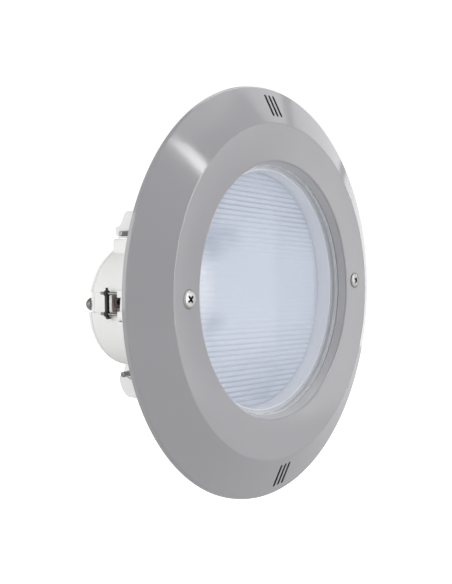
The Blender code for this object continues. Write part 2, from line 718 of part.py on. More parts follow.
def make_cable_clamp():
    """Gland in the pocket's floor, two rods and the rubber band stretched over them."""

    def along(x):
        return (x, GLAND_Y, POCKET_Z)

    gland = cylinder(
        "cable_gland", GLAND_RADIUS, along(POCKET_FLOOR - 3.2), along(POCKET_FLOOR - 0.8), FERRITE, 20
    )
    ends = (along(POCKET_FLOOR - 2.0), along(POCKET_FLOOR + 6.5))
    unite(gland, cylinder("gland_stem", GLAND_STEM, *ends, sides=16))
    ends = (along(POCKET_FLOOR - 5.0), along(POCKET_FLOOR + 9.0))
    cut(gland, cylinder("gland_bore", 2.2, *ends, sides=12))
    seal = cylinder(
        "gland_seal",
        GLAND_RADIUS - GAP,
        along(POCKET_FLOOR - 0.55),
        along(POCKET_FLOOR - 0.2),
        BLACK_RUBBER,
        20,
    )
    ends = (along(POCKET_FLOOR - 3.0), along(POCKET_FLOOR + 3.0))
    cut(seal, cylinder("seal_bore", GLAND_STEM + 0.2, *ends, sides=16))
    band = box(
        "clamp_band",
        (ROD_X - 1.3, BAND_Y0 + 0.3, ROD_MID_Z - ROD_OFFSET),
        (ROD_X + 1.3, BAND_Y1 - 0.3, ROD_MID_Z + ROD_OFFSET),
        BLACK_RUBBER,
    )
    for name, z in rod_heights():
        cylinder(f"clamp_rod_{name}", ROD_RADIUS, (ROD_X, ROD_Y0, z), (ROD_X, ROD_Y1, z), STEEL, 12)
        ends = ((ROD_X, BAND_Y0, z), (ROD_X, BAND_Y1, z))
        unite(band, cylinder(f"band_eye_{name}", BAND_EYE, *ends, sides=16))
    top = ROD_OFFSET + 0.9
    tip = [(BAND_Y0 + 0.9, top), (BAND_Y0 + 2.4, top), (BAND_Y0 + 2.1, 11.6), (BAND_Y0 + 1.4, 11.6)]
    bottom = -ROD_OFFSET - 0.9
    end = BAND_Y0 - 1.7
    tail = [(BAND_Y1 - 0.6, bottom), (BAND_Y1 - 1.0, -10.6), (BAND_Y1 - 2.4, -11.3), (end, -10.6)]
    tail += [(end, -10.0), (BAND_Y0 + 0.6, -9.5), (BAND_Y0 + 0.6, bottom)]
    for name, outline in (("tip", tip), ("tail", tail)):
        unite(band, slab(f"band_{name}", outline, ROD_X - 1.0, ROD_X + 1.0, (0.0, ROD_MID_Z)))
    for name, z in rod_heights():
        ends = ((ROD_X, BAND_Y0 - 3, z), (ROD_X, BAND_Y1 + 3, z))
        cut(band, cylinder(f"band_bore_{name}", ROD_RADIUS + GAP, *ends, sides=12))


def make_driver():
    """Driver board on its rails, with its parts, and the two leads to the LED board."""
    top = DRIVER_Z + 1.6
    box(
        "driver_board",
        (-DRIVER_HALF, DRIVER_Y0, DRIVER_Z),
        (DRIVER_HALF, DRIVER_Y1, top),
        GREEN_BOARD,
    )
    inductor = cylinder(
        "driver_inductor", 8.5, (12, 98, top + GAP), (12, 98, top + 12), FERRITE, 24
    )
    cut(inductor, cylinder("inductor_eye", 3.0, (12, 98, top - 2), (12, 98, top + 15), sides=12))
    cylinder("driver_capacitor", 5.0, (-14, 74, top + 5.4), (-14, 96, top + 5.4), ALUMINIUM, 16)
    block = box(
        "terminal_block", (-13, 101, top + GAP), (2, 110, top + 10), GREEN_PLASTIC
    )
    for i in (0, 1):
        x = -9.0 + 7.0 * i
        way = cylinder(f"terminal_way_{i + 1}", 1.8, (x, 98, top + 5), (x, 106, top + 5), sides=12)
        cut(block, way)
    for name, side, finish in (("positive", 1, RED_WIRE), ("negative", -1, BLACK_WIRE)):
        x = side * 2.0
        route = [
            (x, 47.3, LEAD_HOLE_Z),
            (x, 58.0, LEAD_HOLE_Z),
            (x, 64.0, LEAD_HOLE_Z - 0.6),
            (x * 1.4, 69.0, LEAD_HOLE_Z - 3.2),
            (x * 1.9, 73.0, LEAD_HOLE_Z - 7.2),
            (x * 2.2, 76.0, top + 3.6),
            (x * 2.4, 79.0, top + 1.7),
            (x * 2.5, 84.0, top + 1.3),
        ]
        wire(f"lead_{name}", route, 0.9, finish)


def spring_points(outward):
    """A torsion spring about X: a leg on the housing, the coil, a leg up the latch's front."""
    turns = SPRING_TURNS
    per_turn = 8
    width = 2 * SPRING_SPACE - 2.6
    start, end = radians(-90), radians(-90 - 360 * turns - 90)
    points = [(-width / 2, -12.0, -SPRING_RADIUS - 0.35), (-width / 2, -5.0, -SPRING_RADIUS - 0.2)]
    count = int(per_turn * (turns + 0.25))
    for i in range(count + 1):
        share = i / count
        angle = start + (end - start) * share
        x = -width / 2 + width * share
        points.append((x, SPRING_RADIUS * cos(angle), SPRING_RADIUS * sin(angle)))
    points += [(width / 2, -4.6, 3.2), (width / 2, -6.4, 5.6), (width / 2, -7.6, 10.5)]
    return [(x, y, outward * u) for x, y, u in points]


def make_latch(name, pivot_z, outward, outline):
    """A lever on its hinge pin, its origin on the pin's axis; outline is (y, outward height)."""
    if outward < 0:
        outline = [(y, -u) for y, u in outline]
    latch = slab(name, outline, -LATCH_HALF, LATCH_HALF, (PIVOT_Y, pivot_z), LATCH_WHITE)
    pin_bore = cylinder(
        f"{name}_pin_bore", PIN_RADIUS + 0.3, (-30, PIVOT_Y, pivot_z), (30, PIVOT_Y, pivot_z), sides=16
    )
    cut(latch, pin_bore)
    cylinder(
        f"{name}_pin", PIN_RADIUS, (-PIN_HALF, PIVOT_Y, pivot_z), (PIN_HALF, PIVOT_Y, pivot_z), STEEL, 16
    )
    spring = wire(f"{name}_spring", spring_points(outward), SPRING_WIRE, STEEL)
    spring.location = (0.0, PIVOT_Y * MM, pivot_z * MM)
    return latch


def make_latches():
    hub = arc(HUB_RADIUS, 180, 290, 8)
    top_outline = hub + [(11.0, -3.5), (11.2, -1.6), (13.3, -1.5), (13.3, 5.0), (8.6, 6.3)]
    top_outline += [(4.2, 14.2), (3.2, 15.8), (0.8, 17.3), (-6.8, 17.6), (-7.6, 16.6)]
    top_outline += [(-5.6, 6.0), (-HUB_RADIUS, 3.0)]
    top = make_latch("top_latch", TOP_PIVOT_Z, 1, top_outline)
    knuckle_room = cylinder(
        "top_knuckle_room",
        HUB_RADIUS + 0.6,
        (-ARM_INNER, PIVOT_Y, TOP_PIVOT_Z),
        (ARM_INNER, PIVOT_Y, TOP_PIVOT_Z),
    )
    under = box(
        "top_under_room",
        (-ARM_INNER, PIVOT_Y - 12, TOP_PIVOT_Z - 8),
        (ARM_INNER, PIVOT_Y + 16, TOP_PIVOT_Z),
    )
    cut(top, knuckle_room, under)

    hub = arc(HUB_RADIUS, 180, 345, 12)
    bottom_outline = hub + [(HUB_RADIUS, 2.4), (5.2, 3.1), (12.2, 3.2), (11.3, 8.4), (8.8, 13.6)]
    bottom_outline += [(5.4, 17.0), (2.2, 18.6), (-6.4, 18.8), (-7.4, 17.6), (-5.2, 6.0)]
    bottom_outline += [(-HUB_RADIUS, 3.0)]
    bottom = make_latch("bottom_latch", BOTTOM_PIVOT_Z, -1, bottom_outline)
    for name, side in (("left", -1), ("right", 1)):
        low, high = sorted((side * ARM_INNER, side * 20.0))
        ear_room = cylinder(
            f"ear_room_{name}",
            HUB_RADIUS + 0.6,
            (low, PIVOT_Y, BOTTOM_PIVOT_Z),
            (high, PIVOT_Y, BOTTOM_PIVOT_Z),
        )
        shoulder = box(
            f"ear_shoulder_{name}",
            (low, PIVOT_Y - 2.0, BOTTOM_PIVOT_Z - 3.25),
            (high, PIVOT_Y + 7.0, BOTTOM_PIVOT_Z + 5.0),
        )
        cut(bottom, ear_room, shoulder)
    spring_room = cylinder(
        "bottom_spring_room",
        HUB_RADIUS + 0.6,
        (-SPRING_SPACE, PIVOT_Y, BOTTOM_PIVOT_Z),
        (SPRING_SPACE, PIVOT_Y, BOTTOM_PIVOT_Z),
    )
    cut(bottom, spring_room)


make_faceplate()
make_face_screws()
make_lens()
make_clamp_ring()
make_bowl()
make_optics()
make_light_engine()
make_rear_housing()
make_rear_cover()
make_cable_clamp()
make_driver()
make_latches()
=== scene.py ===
"""Looks of the underwater pool light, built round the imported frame. Dimensions are in millimetres."""

import json
from math import cos, hypot, pi, radians, sin, tan

import bmesh
import bpy
from mathutils import Matrix, Vector


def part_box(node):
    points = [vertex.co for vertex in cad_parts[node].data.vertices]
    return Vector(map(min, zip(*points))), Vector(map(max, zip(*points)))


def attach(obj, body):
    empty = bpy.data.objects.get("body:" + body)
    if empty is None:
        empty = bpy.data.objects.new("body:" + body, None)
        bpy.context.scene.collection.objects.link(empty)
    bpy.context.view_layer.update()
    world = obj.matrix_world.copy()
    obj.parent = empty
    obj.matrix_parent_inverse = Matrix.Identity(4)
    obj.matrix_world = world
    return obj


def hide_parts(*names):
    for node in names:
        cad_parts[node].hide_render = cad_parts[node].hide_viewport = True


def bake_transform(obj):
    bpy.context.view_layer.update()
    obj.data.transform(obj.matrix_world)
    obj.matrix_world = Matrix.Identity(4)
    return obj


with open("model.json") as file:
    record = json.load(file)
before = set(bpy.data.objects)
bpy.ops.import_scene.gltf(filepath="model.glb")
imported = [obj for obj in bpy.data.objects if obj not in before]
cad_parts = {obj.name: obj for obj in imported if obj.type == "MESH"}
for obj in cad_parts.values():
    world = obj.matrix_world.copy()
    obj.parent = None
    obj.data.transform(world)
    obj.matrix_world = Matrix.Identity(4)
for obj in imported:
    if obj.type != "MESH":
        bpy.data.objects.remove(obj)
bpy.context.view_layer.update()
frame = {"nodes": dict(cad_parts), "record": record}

MM = 0.001


def node_mm(node):
    """Lowest and highest corners of a CAD node, in millimetres."""
    low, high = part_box(node)
    return low / MM, high / MM


# ---------------------------------------------------------------- dimensions from the frame

FACE_RADIUS = node_mm("faceplate")[1].x
LENS_LOW, LENS_HIGH = node_mm("lens")
PRISM_LOW, PRISM_HIGH = node_mm("prism_plate")
COVER_LOW, COVER_HIGH = node_mm("rear_cover")
DRUM_RADIUS = COVER_HIGH.x
DRUM_Z = (COVER_LOW.z + COVER_HIGH.z) / 2
COVER_BACK = COVER_HIGH.y
SCREW_X = sum(corner.x for corner in node_mm("face_screw_right")) / 2


# ---------------------------------------------------------------- materials

def socket(shader, **values):
    for name, value in values.items():
        shader.inputs[name.replace("_", " ")].default_value = value


def new_material(name):
    material = bpy.data.materials.new(name)
    material.use_nodes = True
    tree = material.node_tree
    return material, tree, tree.nodes["Principled BSDF"]


def noise_node(tree, scale, detail=3.0, roughness=0.5, stretch=None):
    """Noise over the row's own coordinates, in cycles a metre; stretch scales it along X, Y and Z."""
    place = tree.nodes.new("ShaderNodeTexCoord")
    found = tree.nodes.new("ShaderNodeTexNoise")
    found.inputs["Scale"].default_value = scale
    found.inputs["Detail"].default_value = detail
    found.inputs["Roughness"].default_value = roughness
    if stretch:
        mapping = tree.nodes.new("ShaderNodeMapping")
        mapping.inputs["Scale"].default_value = stretch
        tree.links.new(place.outputs["Object"], mapping.inputs["Vector"])
        tree.links.new(mapping.outputs["Vector"], found.inputs["Vector"])
    else:
        tree.links.new(place.outputs["Object"], found.inputs["Vector"])
    return found.outputs["Fac"]


def spread(tree, value, low, high, source_low=0.35, source_high=0.65):
    """A value mapped onto low..high."""
    ranged = tree.nodes.new("ShaderNodeMapRange")
    tree.links.new(value, ranged.inputs["Value"])
    for name, number in (
        ("From Min", source_low),
        ("From Max", source_high),
        ("To Min", low),
        ("To Max", high),
    ):
        ranged.inputs[name].default_value = number
    return ranged.outputs["Result"]


def mix_colour(tree, factor, first, second):
    mix = tree.nodes.new("ShaderNodeMix")
    mix.data_type = "RGBA"
    tree.links.new(factor, mix.inputs["Factor"])
    for slot, colour in (("A", first), ("B", second)):
        entry = [i for i in mix.inputs if i.name == slot and i.type == "RGBA"][0]
        if isinstance(colour, tuple):
            entry.default_value = (*colour, 1.0)
        else:
            tree.links.new(colour, entry)
    return [o for o in mix.outputs if o.type == "RGBA"][0]


def add_bump(tree, shader, height, distance):
    bump = tree.nodes.new("ShaderNodeBump")
    bump.inputs["Distance"].default_value = distance * MM
    bump.inputs["Strength"].default_value = 1.0
    tree.links.new(height, bump.inputs["Height"])
    tree.links.new(bump.outputs["Normal"], shader.inputs["Normal"])


def scaled(colour, share):
    return tuple(channel * share for channel in colour)


def moulded(name, colour, roughness, grain=900.0, depth=0.02, mottle=0.03):
    """Moulded plastic: faint mottling, slightly uneven gloss and a fine skin grain."""
    material, tree, shader = new_material(name)
    cloud = noise_node(tree, 14.0, 4.0)
    factor = spread(tree, cloud, 0.0, 1.0)
    tint = mix_colour(tree, factor, scaled(colour, 1 - mottle), scaled(colour, 1 + mottle))
    tree.links.new(tint, shader.inputs["Base Color"])
    gloss = noise_node(tree, 45.0, 3.0)
    tree.links.new(
        spread(tree, gloss, roughness * 0.85, roughness * 1.15), shader.inputs["Roughness"]
    )
    add_bump(tree, shader, noise_node(tree, grain, 2.0), depth)
    return material


def metal(name, colour, roughness):
    """Bare metal with fine scratches."""
    material, tree, shader = new_material(name)
    socket(shader, Metallic=1.0)
    scratches = noise_node(tree, 400.0, 4.0, 0.6)
    factor = spread(tree, scratches, 0.0, 1.0)
    tree.links.new(mix_colour(tree, factor, scaled(colour, 0.88), colour), shader.inputs["Base Color"])
    tree.links.new(
        spread(tree, scratches, roughness * 0.8, roughness * 1.25), shader.inputs["Roughness"]
    )
    add_bump(tree, shader, scratches, 0.01)
    return material


GREY = moulded("grey_abs", (0.35, 0.345, 0.365), 0.11, 700.0, 0.006, 0.012)
# Lighter grey painted on the faceplate's throat wall: painted light inside the opening
THROAT_PAINTED_LIGHT = moulded("grey_abs_throat_painted_light", (0.50, 0.495, 0.515), 0.2, 700.0, 0.006, 0.012)
# Near-black painted on the slot walls: painted shade inside the slots
SLOT_SHADE = moulded("grey_abs_slot_painted_shade", (0.035, 0.035, 0.037), 0.6, 700.0, 0.01, 0.1)
WHITE = moulded("white_abs", (0.83, 0.83, 0.82), 0.42, 800.0, 0.02, 0.015)
# Brownish grey painted on the cable pocket's walls: painted shade inside the pocket
POCKET_SHADE = moulded("white_abs_pocket_painted_shade", (0.70, 0.63, 0.61), 0.5, 800.0, 0.02, 0.06)
LATCH = moulded("latch_white", (0.755, 0.755, 0.755), 0.45, 800.0, 0.02, 0.02)
RUBBER = moulded("black_rubber", (0.018, 0.018, 0.019), 0.62, 1200.0, 0.04, 0.2)
SILICONE = moulded("grey_silicone", (0.5, 0.51, 0.53), 0.5, 900.0, 0.03, 0.05)
NYLON = moulded("gland_brown", (0.085, 0.05, 0.042), 0.35, 900.0, 0.02, 0.1)
STEEL = metal("stainless_steel", (0.54, 0.535, 0.52), 0.42)
# Dark steel painted on the walls of the face screws' recesses: painted shade inside the recesses
RECESS_PAINTED_SHADE = metal("stainless_steel_recess", (0.13, 0.128, 0.12), 0.4)
DULL_STEEL = metal("stainless_steel_dull", (0.30, 0.30, 0.295), 0.30)
BRASS = metal("brass", (0.72, 0.53, 0.22), 0.28)
ALUMINIUM = metal("aluminium", (0.70, 0.71, 0.72), 0.42)
GREEN_BOARD = moulded("green_board", (0.02, 0.16, 0.06), 0.3, 1500.0, 0.02, 0.15)
WHITE_BOARD = moulded("white_board", (0.82, 0.82, 0.80), 0.3, 1500.0, 0.02, 0.03)
PHOSPHOR = moulded("led_phosphor", (0.82, 0.68, 0.20), 0.2, 1500.0, 0.02, 0.05)
FERRITE = moulded("ferrite", (0.045, 0.045, 0.05), 0.6, 1500.0, 0.05, 0.2)
GREEN_PLASTIC = moulded("green_plastic", (0.03, 0.27, 0.12), 0.35)
RED_WIRE = moulded("red_wire", (0.5, 0.025, 0.02), 0.38)
BLACK_WIRE = moulded("black_wire", (0.02, 0.02, 0.02), 0.38)


RIB_PITCH, RIB_DEPTH, RIB_TURN = 3.5, 1.1, radians(4.0)
FLUTE_PITCH, FLUTE_DEPTH = 2.1, 0.16
PLATE_TINTS = ((0.585, 0.635, 0.735), (0.615, 0.665, 0.76))
# Colours of the painted shade in the rib valleys and in the clouds, and of the painted glow
VALLEY_SHADE, CLOUD_SHADE, PAINTED_GLOW_TINT = (0.27, 0.31, 0.43), (0.23, 0.28, 0.38), (0.93, 0.95, 0.98)
PAINTED_GLOW_SPOT = (-60.0, 4.0, 17.0, 30.0)
# x, z, reach along x, reach along z and depth of the painted shade clouds on the ribbed plate
SHADE_CLOUDS = (
    (-55.0, 30.0, 21.0, 14.0, 1.0),
    (-44.0, 34.0, 30.0, 16.0, 0.6),
    (-34.0, 37.0, 30.0, 12.0, 0.3),
    (-50.0, -19.0, 20.0, 10.0, 0.55),
    (5.0, -84.0, 80.0, 42.0, 0.6),
    (10.0, 84.0, 70.0, 26.0, 0.35),
)


def lens_material(name, cover, darker, lighter):
    """Polished window, seen as a thin film that keeps its gloss; cover is how much it hides."""
    material, tree, shader = new_material(name)
    socket(shader, Alpha=cover, IOR=1.5)
    faint = spread(tree, noise_node(tree, 9.0, 2.0), 0.0, 1.0)
    tint = mix_colour(tree, faint, darker, lighter)
    tree.links.new(tint, shader.inputs["Base Color"])
    tree.links.new(
        spread(tree, noise_node(tree, 60.0, 2.0), 0.05, 0.08), shader.inputs["Roughness"]
    )
    return material


def math_node(tree, operation, first, second=0.0):
    node = tree.nodes.new("ShaderNodeMath")
    node.operation = operation
    for entry, value in zip(node.inputs, (first, second)):
        if isinstance(value, (int, float)):
            entry.default_value = value
        else:
            tree.links.new(value, entry)
    return node.outputs["Value"]


def soft_spot(tree, x, z, reach_x, reach_z):
    """A soft round mask, 1 at (x, z) and 0 beyond its reach along X and Z."""
    place = tree.nodes.new("ShaderNodeTexCoord")
    mapping = tree.nodes.new("ShaderNodeMapping")
    mapping.vector_type = "TEXTURE"
    mapping.inputs["Location"].default_value = (x * MM, 0.0, z * MM)
    mapping.inputs["Scale"].default_value = (reach_x * MM, 1.0, reach_z * MM)
    fade = tree.nodes.new("ShaderNodeTexGradient")
    fade.gradient_type = "SPHERICAL"
    tree.links.new(place.outputs["Object"], mapping.inputs["Vector"])
    tree.links.new(mapping.outputs["Vector"], fade.inputs["Vector"])
    return fade.outputs["Fac"]


def prism_material():
    """Frosted acrylic with painted shade in the valleys between its ribs, painted clouds of shade and a
    painted glow of light.
    """
    material, tree, shader = new_material("prism_plate")
    base = mix_colour(tree, spread(tree, noise_node(tree, 22.0, 2.0), 0.0, 1.0), *PLATE_TINTS)
    place = tree.nodes.new("ShaderNodeTexCoord")
    turned = tree.nodes.new("ShaderNodeMapping")
    turned.inputs["Rotation"].default_value = (0.0, -RIB_TURN, 0.0)
    split = tree.nodes.new("ShaderNodeSeparateXYZ")
    tree.links.new(place.outputs["Object"], turned.inputs["Vector"])
    tree.links.new(turned.outputs["Vector"], split.inputs["Vector"])
    height = split.outputs["Z"]
    phase = math_node(tree, "MULTIPLY", height, pi / (RIB_PITCH * MM))
    wave = math_node(tree, "ABSOLUTE", math_node(tree, "SINE", phase))
    away = math_node(tree, "ABSOLUTE", height)
    fade = spread(tree, away, 0.1, 1.0, 0.022, 0.055)
    streaks = spread(tree, noise_node(tree, 60.0, 2.0, 0.5, (0.25, 1.0, 1.0)), 0.45, 1.0, 0.4, 0.6)
    # Painted shade darkens the valleys between the ribs, more so towards the top and bottom.
    valley = math_node(tree, "MULTIPLY", spread(tree, wave, 1.0, 0.0, 0.05, 0.8), fade)
    valley = math_node(tree, "MULTIPLY", valley, streaks)
    shaded = mix_colour(tree, valley, base, VALLEY_SHADE)
    # Painted shade in soft clouds over the plate.
    cloud = spread(tree, noise_node(tree, 55.0, 3.0, 0.5, (0.5, 1.0, 1.5)), 0.35, 1.0, 0.35, 0.6)
    for x, z, reach_x, reach_z, depth in SHADE_CLOUDS:
        spot = spread(tree, soft_spot(tree, x, z, reach_x, reach_z), 0.0, depth, 0.0, 0.8)
        shaded = mix_colour(tree, math_node(tree, "MULTIPLY", spot, cloud), shaded, CLOUD_SHADE)
    # A painted glow: a soft patch of painted light towards -X.
    painted_glow = spread(tree, soft_spot(tree, *PAINTED_GLOW_SPOT), 0.0, 0.85, 0.0, 0.7)
    shaded = mix_colour(tree, painted_glow, shaded, PAINTED_GLOW_TINT)
    tree.links.new(shaded, shader.inputs["Base Color"])
    socket(shader, Roughness=0.3)
    return material


CLEAR = lens_material("clear_lens", 0.22, (0.80, 0.86, 0.95), (0.84, 0.89, 0.96))
# Near-white, nearly opaque film on the flange: frosting, whitened further as painted light
FROSTED_PAINTED_LIGHT = lens_material("clear_lens_frosted_painted_light", 0.85, (0.92, 0.92, 0.92), (0.95, 0.95, 0.95))
# Grey film on the lens's side wall: painted shade at the window's edge
LENS_SIDE_PAINTED_SHADE = lens_material("clear_lens_side_painted_shade", 0.3, (0.46, 0.47, 0.48), (0.50, 0.51, 0.52))
PRISM = prism_material()
COLLAR = moulded("collar_white", (0.90, 0.89, 0.93), 0.35, 900.0, 0.01, 0.01)


# ---------------------------------------------------------------- shapes

SHARP_ANGLE = 35
AXIS_RADIUS = 0.0001
EDGE_STEPS, EDGE_LAND = 3, 0.05
FLAT_LEAD = 1.02


def filleted(corners, steps=5):
    """Points of an outline of (a, b, fillet radius) corners, with each fillet as an arc."""
    points = []
    for i, (a, b, fillet) in enumerate(corners):
        corner = Vector((a, b))
        if not fillet:
            points.append(corner)
            continue
        before = Vector(corners[i - 1][:2]) - corner
        after = Vector(corners[(i + 1) % len(corners)][:2]) - corner
        half = before.angle(after) / 2
        reach = min(fillet / tan(half), 0.49 * min(before.length, after.length))
        toward, away = before.normalized() * reach, after.normalized() * reach
        centre = (toward + away).normalized() * (reach / cos(half))
        first, last = toward - centre, away - centre
        sweep = first.angle(last)
        # A point just outside each end of the arc keeps the flat faces beside it flat in shading
        points.append(corner + toward * FLAT_LEAD)
        for k in range(steps + 1):
            share = k / steps
            arm = first * sin((1 - share) * sweep) + last * sin(share * sweep)
            points.append(corner + centre + arm / sin(sweep))
        points.append(corner + away * FLAT_LEAD)
    return points


def arc(radius, start, end, count):
    """Points of an arc about the origin, its angles in degrees, both ends included."""
    turns = [radians(start + (end - start) * k / count) for k in range(count + 1)]
    return [(radius * cos(t), radius * sin(t)) for t in turns]


def from_bmesh(name, shape, material, sharp=SHARP_ANGLE):
    bmesh.ops.recalc_face_normals(shape, faces=shape.faces)
    mesh = bpy.data.meshes.new(name)
    shape.to_mesh(mesh)
    shape.free()
    mesh.shade_smooth()
    mesh.set_sharp_from_angle(angle=radians(sharp))
    obj = bpy.data.objects.new(name, mesh)
    bpy.context.scene.collection.objects.link(obj)
    if material:
        mesh.materials.append(material)
    return obj


def lathe(name, corners, material=None, centre=(0, 0), segments=128, steps=5, sharp=SHARP_ANGLE):
    """Corners of (radius, y, fillet) turned about a line along Y through centre, given as (x, z)."""
    shape = bmesh.new()
    rings = []
    for radius, y in filleted(corners, steps):
        if radius < AXIS_RADIUS:
            rings.append([shape.verts.new((centre[0] * MM, y * MM, centre[1] * MM))])
            continue
        ring = []
        for k in range(segments):
            turn = 2 * pi * k / segments
            x, z = centre[0] + radius * cos(turn), centre[1] + radius * sin(turn)
            ring.append(shape.verts.new((x * MM, y * MM, z * MM)))
        rings.append(ring)
    pairs = list(zip(rings, rings[1:]))
    if len(rings[0]) > 1:
        pairs.append((rings[-1], rings[0]))
    for first, second in pairs:
        for k in range(segments):
            following = (k + 1) % segments
            if len(first) == 1 and len(second) == 1:
                break
            if len(first) == 1:
                shape.faces.new((first[0], second[following], second[k]))
            elif len(second) == 1:
                shape.faces.new((first[k], first[following], second[0]))
            else:
                shape.faces.new((first[k], first[following], second[following], second[k]))
    return from_bmesh(name, shape, material, sharp)


def inset(outline, distance):
    """An anticlockwise outline moved inwards, its corners mitred."""
    moved = []
    for i, point in enumerate(outline):
        here = Vector(point)
        before = (here - Vector(outline[i - 1])).normalized()
        after = (Vector(outline[(i + 1) % len(outline)]) - here).normalized()
        inward = Vector((-before.y - after.y, before.x + after.x)).normalized()
        moved.append(here + inward * distance / max(0.4, inward.dot(Vector((-before.y, before.x)))))
    return moved


def extruded(name, outline, low, high, material=None, edge=0.0, axis="X"):
    """An outline along X, of (y, z) points, or Y, of (x, z) points, its end edges rounded by edge."""
    outline = [tuple(point) for point in outline]
    following = outline[1:] + outline[:1]
    if sum(a * d - c * b for (a, b), (c, d) in zip(outline, following)) < 0:
        outline.reverse()
    layers = [(low, 0.0), (high, 0.0)]
    if edge:
        turns = [radians(90 / EDGE_STEPS * k) for k in range(EDGE_STEPS + 1)]
        rounded = [(edge * (1 - sin(t)), edge * (1 - cos(t))) for t in turns]
        rounded.append((0.0, edge + EDGE_LAND))
        layers = [(low + depth, inward) for depth, inward in reversed(rounded)]
        layers += [(high - depth, inward) for depth, inward in rounded]
    shape = bmesh.new()
    rings = []
    for along, inward in layers:
        ring = []
        for a, b in inset(outline, inward) if inward else outline:
            ring.append(shape.verts.new(Vector((along, a, b) if axis == "X" else (a, along, b)) * MM))
        rings.append(ring)
    shape.faces.new(rings[0])
    shape.faces.new(list(reversed(rings[-1])))
    for first, second in zip(rings, rings[1:]):
        for k in range(len(outline)):
            after = (k + 1) % len(outline)
            shape.faces.new((first[k], second[k], second[after], first[after]))
    return from_bmesh(name, shape, material)


def block(name, low, high, material=None, edge=0.0):
    """A box whose edges are all rounded."""
    corners = [(low[1], low[2]), (high[1], low[2]), (high[1], high[2]), (low[1], high[2])]
    outline = filleted([(a, b, edge + 0.08) for a, b in corners], 3) if edge else corners
    return extruded(name, outline, low[0], high[0], material, edge)


def bar(name, radius, start, end, material=None, sides=48, chamfer=0.0):
    """A round bar between two points, its ends chamfered."""
    start, end = Vector(start), Vector(end)
    length = (end - start).length
    corners = [(0.0, length, 0), (radius, length, chamfer), (radius, 0.0, chamfer), (0.0, 0.0, 0)]
    obj = lathe(name, corners, material, segments=sides, steps=3)
    turn = (end - start).to_track_quat("Y", "Z").to_matrix().to_4x4()
    obj.data.transform(Matrix.Translation(start * MM) @ turn)
    return obj


def apply_modifiers(obj):
    graph = bpy.context.evaluated_depsgraph_get()
    mesh = bpy.data.meshes.new_from_object(obj.evaluated_get(graph))
    obj.modifiers.clear()
    obj.data = mesh


def combine(obj, others, operation):
    """Joins the others onto obj, or cuts them from it, and removes them."""
    for other in others:
        step = obj.modifiers.new(other.name, "BOOLEAN")
        step.operation = operation
        step.object = other
        step.solver = "MANIFOLD"
        step.material_mode = "TRANSFER"
    apply_modifiers(obj)
    for other in others:
        bpy.data.objects.remove(other, do_unlink=True)
    obj.data.shade_smooth()
    obj.data.set_sharp_from_angle(angle=radians(SHARP_ANGLE))


def cut(obj, *others):
    combine(obj, others, "DIFFERENCE")


def unite(obj, *others):
    combine(obj, others, "UNION")


def paint(obj, material, chosen):
    """Gives the material to the faces whose middle, in millimetres, is chosen."""
    obj.data.materials.append(material)
    for face in obj.data.polygons:
        if chosen(face.center / MM):
            face.material_index = len(obj.data.materials) - 1


def place(obj, body, slot, *nodes):
    """The piece rides on a body, in place of these nodes."""
    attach(obj, body)
    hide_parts(*nodes)


# ---------------------------------------------------------------- faceplate

RIDGE_RADIUS, RIDGE_Y = 113.3, -15.1
LIP_RADIUS, LIP_Y = 87.6, -13.0
THROAT_RADIUS, THROAT_Y = 84.9, -7.0
PLATE_WALL = 2.8
RIM_INNER, RIM_HEIGHT = 135.5, 2.7
SLOT_CENTRE, SLOT_LENGTH, SLOT_WIDTH, SLOT_PITCH = 126.3, 15.8, 2.4, 4.8
BOSS_RADIUS, BOSS_FRONT, BOSS_BACK = 8.0, -12.2, -8.8
RECESS_TAPER_LONG, RECESS_TAPER_WIDE = 0.3, 0.7


def stadium(length, width, centre, count=8):
    """Points round a slot with semicircular ends, its length along the second axis."""
    reach = (length - width) / 2
    points = []
    for end, start in ((1, 0), (-1, 180)):
        for k in range(count + 1):
            turn = radians(start + 180 * k / count)
            points.append(
                (centre[0] + width / 2 * cos(turn), centre[1] + end * reach + width / 2 * sin(turn))
            )
    return points


def make_faceplate():
    wall = PLATE_WALL
    plate = lathe(
        "faceplate_shell",
        [
            (FACE_RADIUS, 0.0, 0),
            (FACE_RADIUS - 0.5, -RIM_HEIGHT, 1.3),
            (RIDGE_RADIUS, RIDGE_Y - 0.1, 2.3),
            (LIP_RADIUS, LIP_Y - 0.1, 1.7),
            (THROAT_RADIUS, THROAT_Y, 0.3),
            (THROAT_RADIUS + wall, THROAT_Y, 0.4),
            (LIP_RADIUS + wall, LIP_Y + wall, 1.0),
            (RIDGE_RADIUS - 1.3, RIDGE_Y + wall, 3.0),
            (RIM_INNER, -1.2, 0.6),
            (RIM_INNER, 0.0, 0),
        ],
        GREY,
        segments=256,
        steps=7,
    )
    cutters = []
    bosses = []
    for side in (-1, 1):
        x = side * SCREW_X
        bosses.append(bar(f"boss_{side}", BOSS_RADIUS, (x, BOSS_FRONT, 0), (x, BOSS_BACK, 0)))
        corners = [(0, -5, 0), (3.4, -5, 0), (3.4, -11.2, 0)]
        corners += [(5.8, -13.6, 0.3), (5.9, -17, 0), (0, -17, 0)]
        cutters.append(lathe(f"seat_{side}", corners, centre=(x, 0.0), segments=64))
        for i in (-1, 0, 1):
            # Each slot cutter leaves near-black painted shade on the walls it cuts.
            outline = stadium(SLOT_LENGTH, SLOT_WIDTH, (i * SLOT_PITCH, side * SLOT_CENTRE))
            cutters.append(extruded(f"slot_{side}_{i}", outline, -20.0, 4.0, SLOT_SHADE, axis="Y"))
    unite(plate, *bosses)
    cut(plate, *cutters)
    # The throat wall gets the lighter grey: painted light inside the opening.
    wall_radius = LIP_RADIUS - 0.6
    paint(plate, THROAT_PAINTED_LIGHT, lambda at: hypot(at.x, at.z) < wall_radius and at.y < THROAT_Y)
    place(plate, "fixture", "grey_abs", "faceplate")


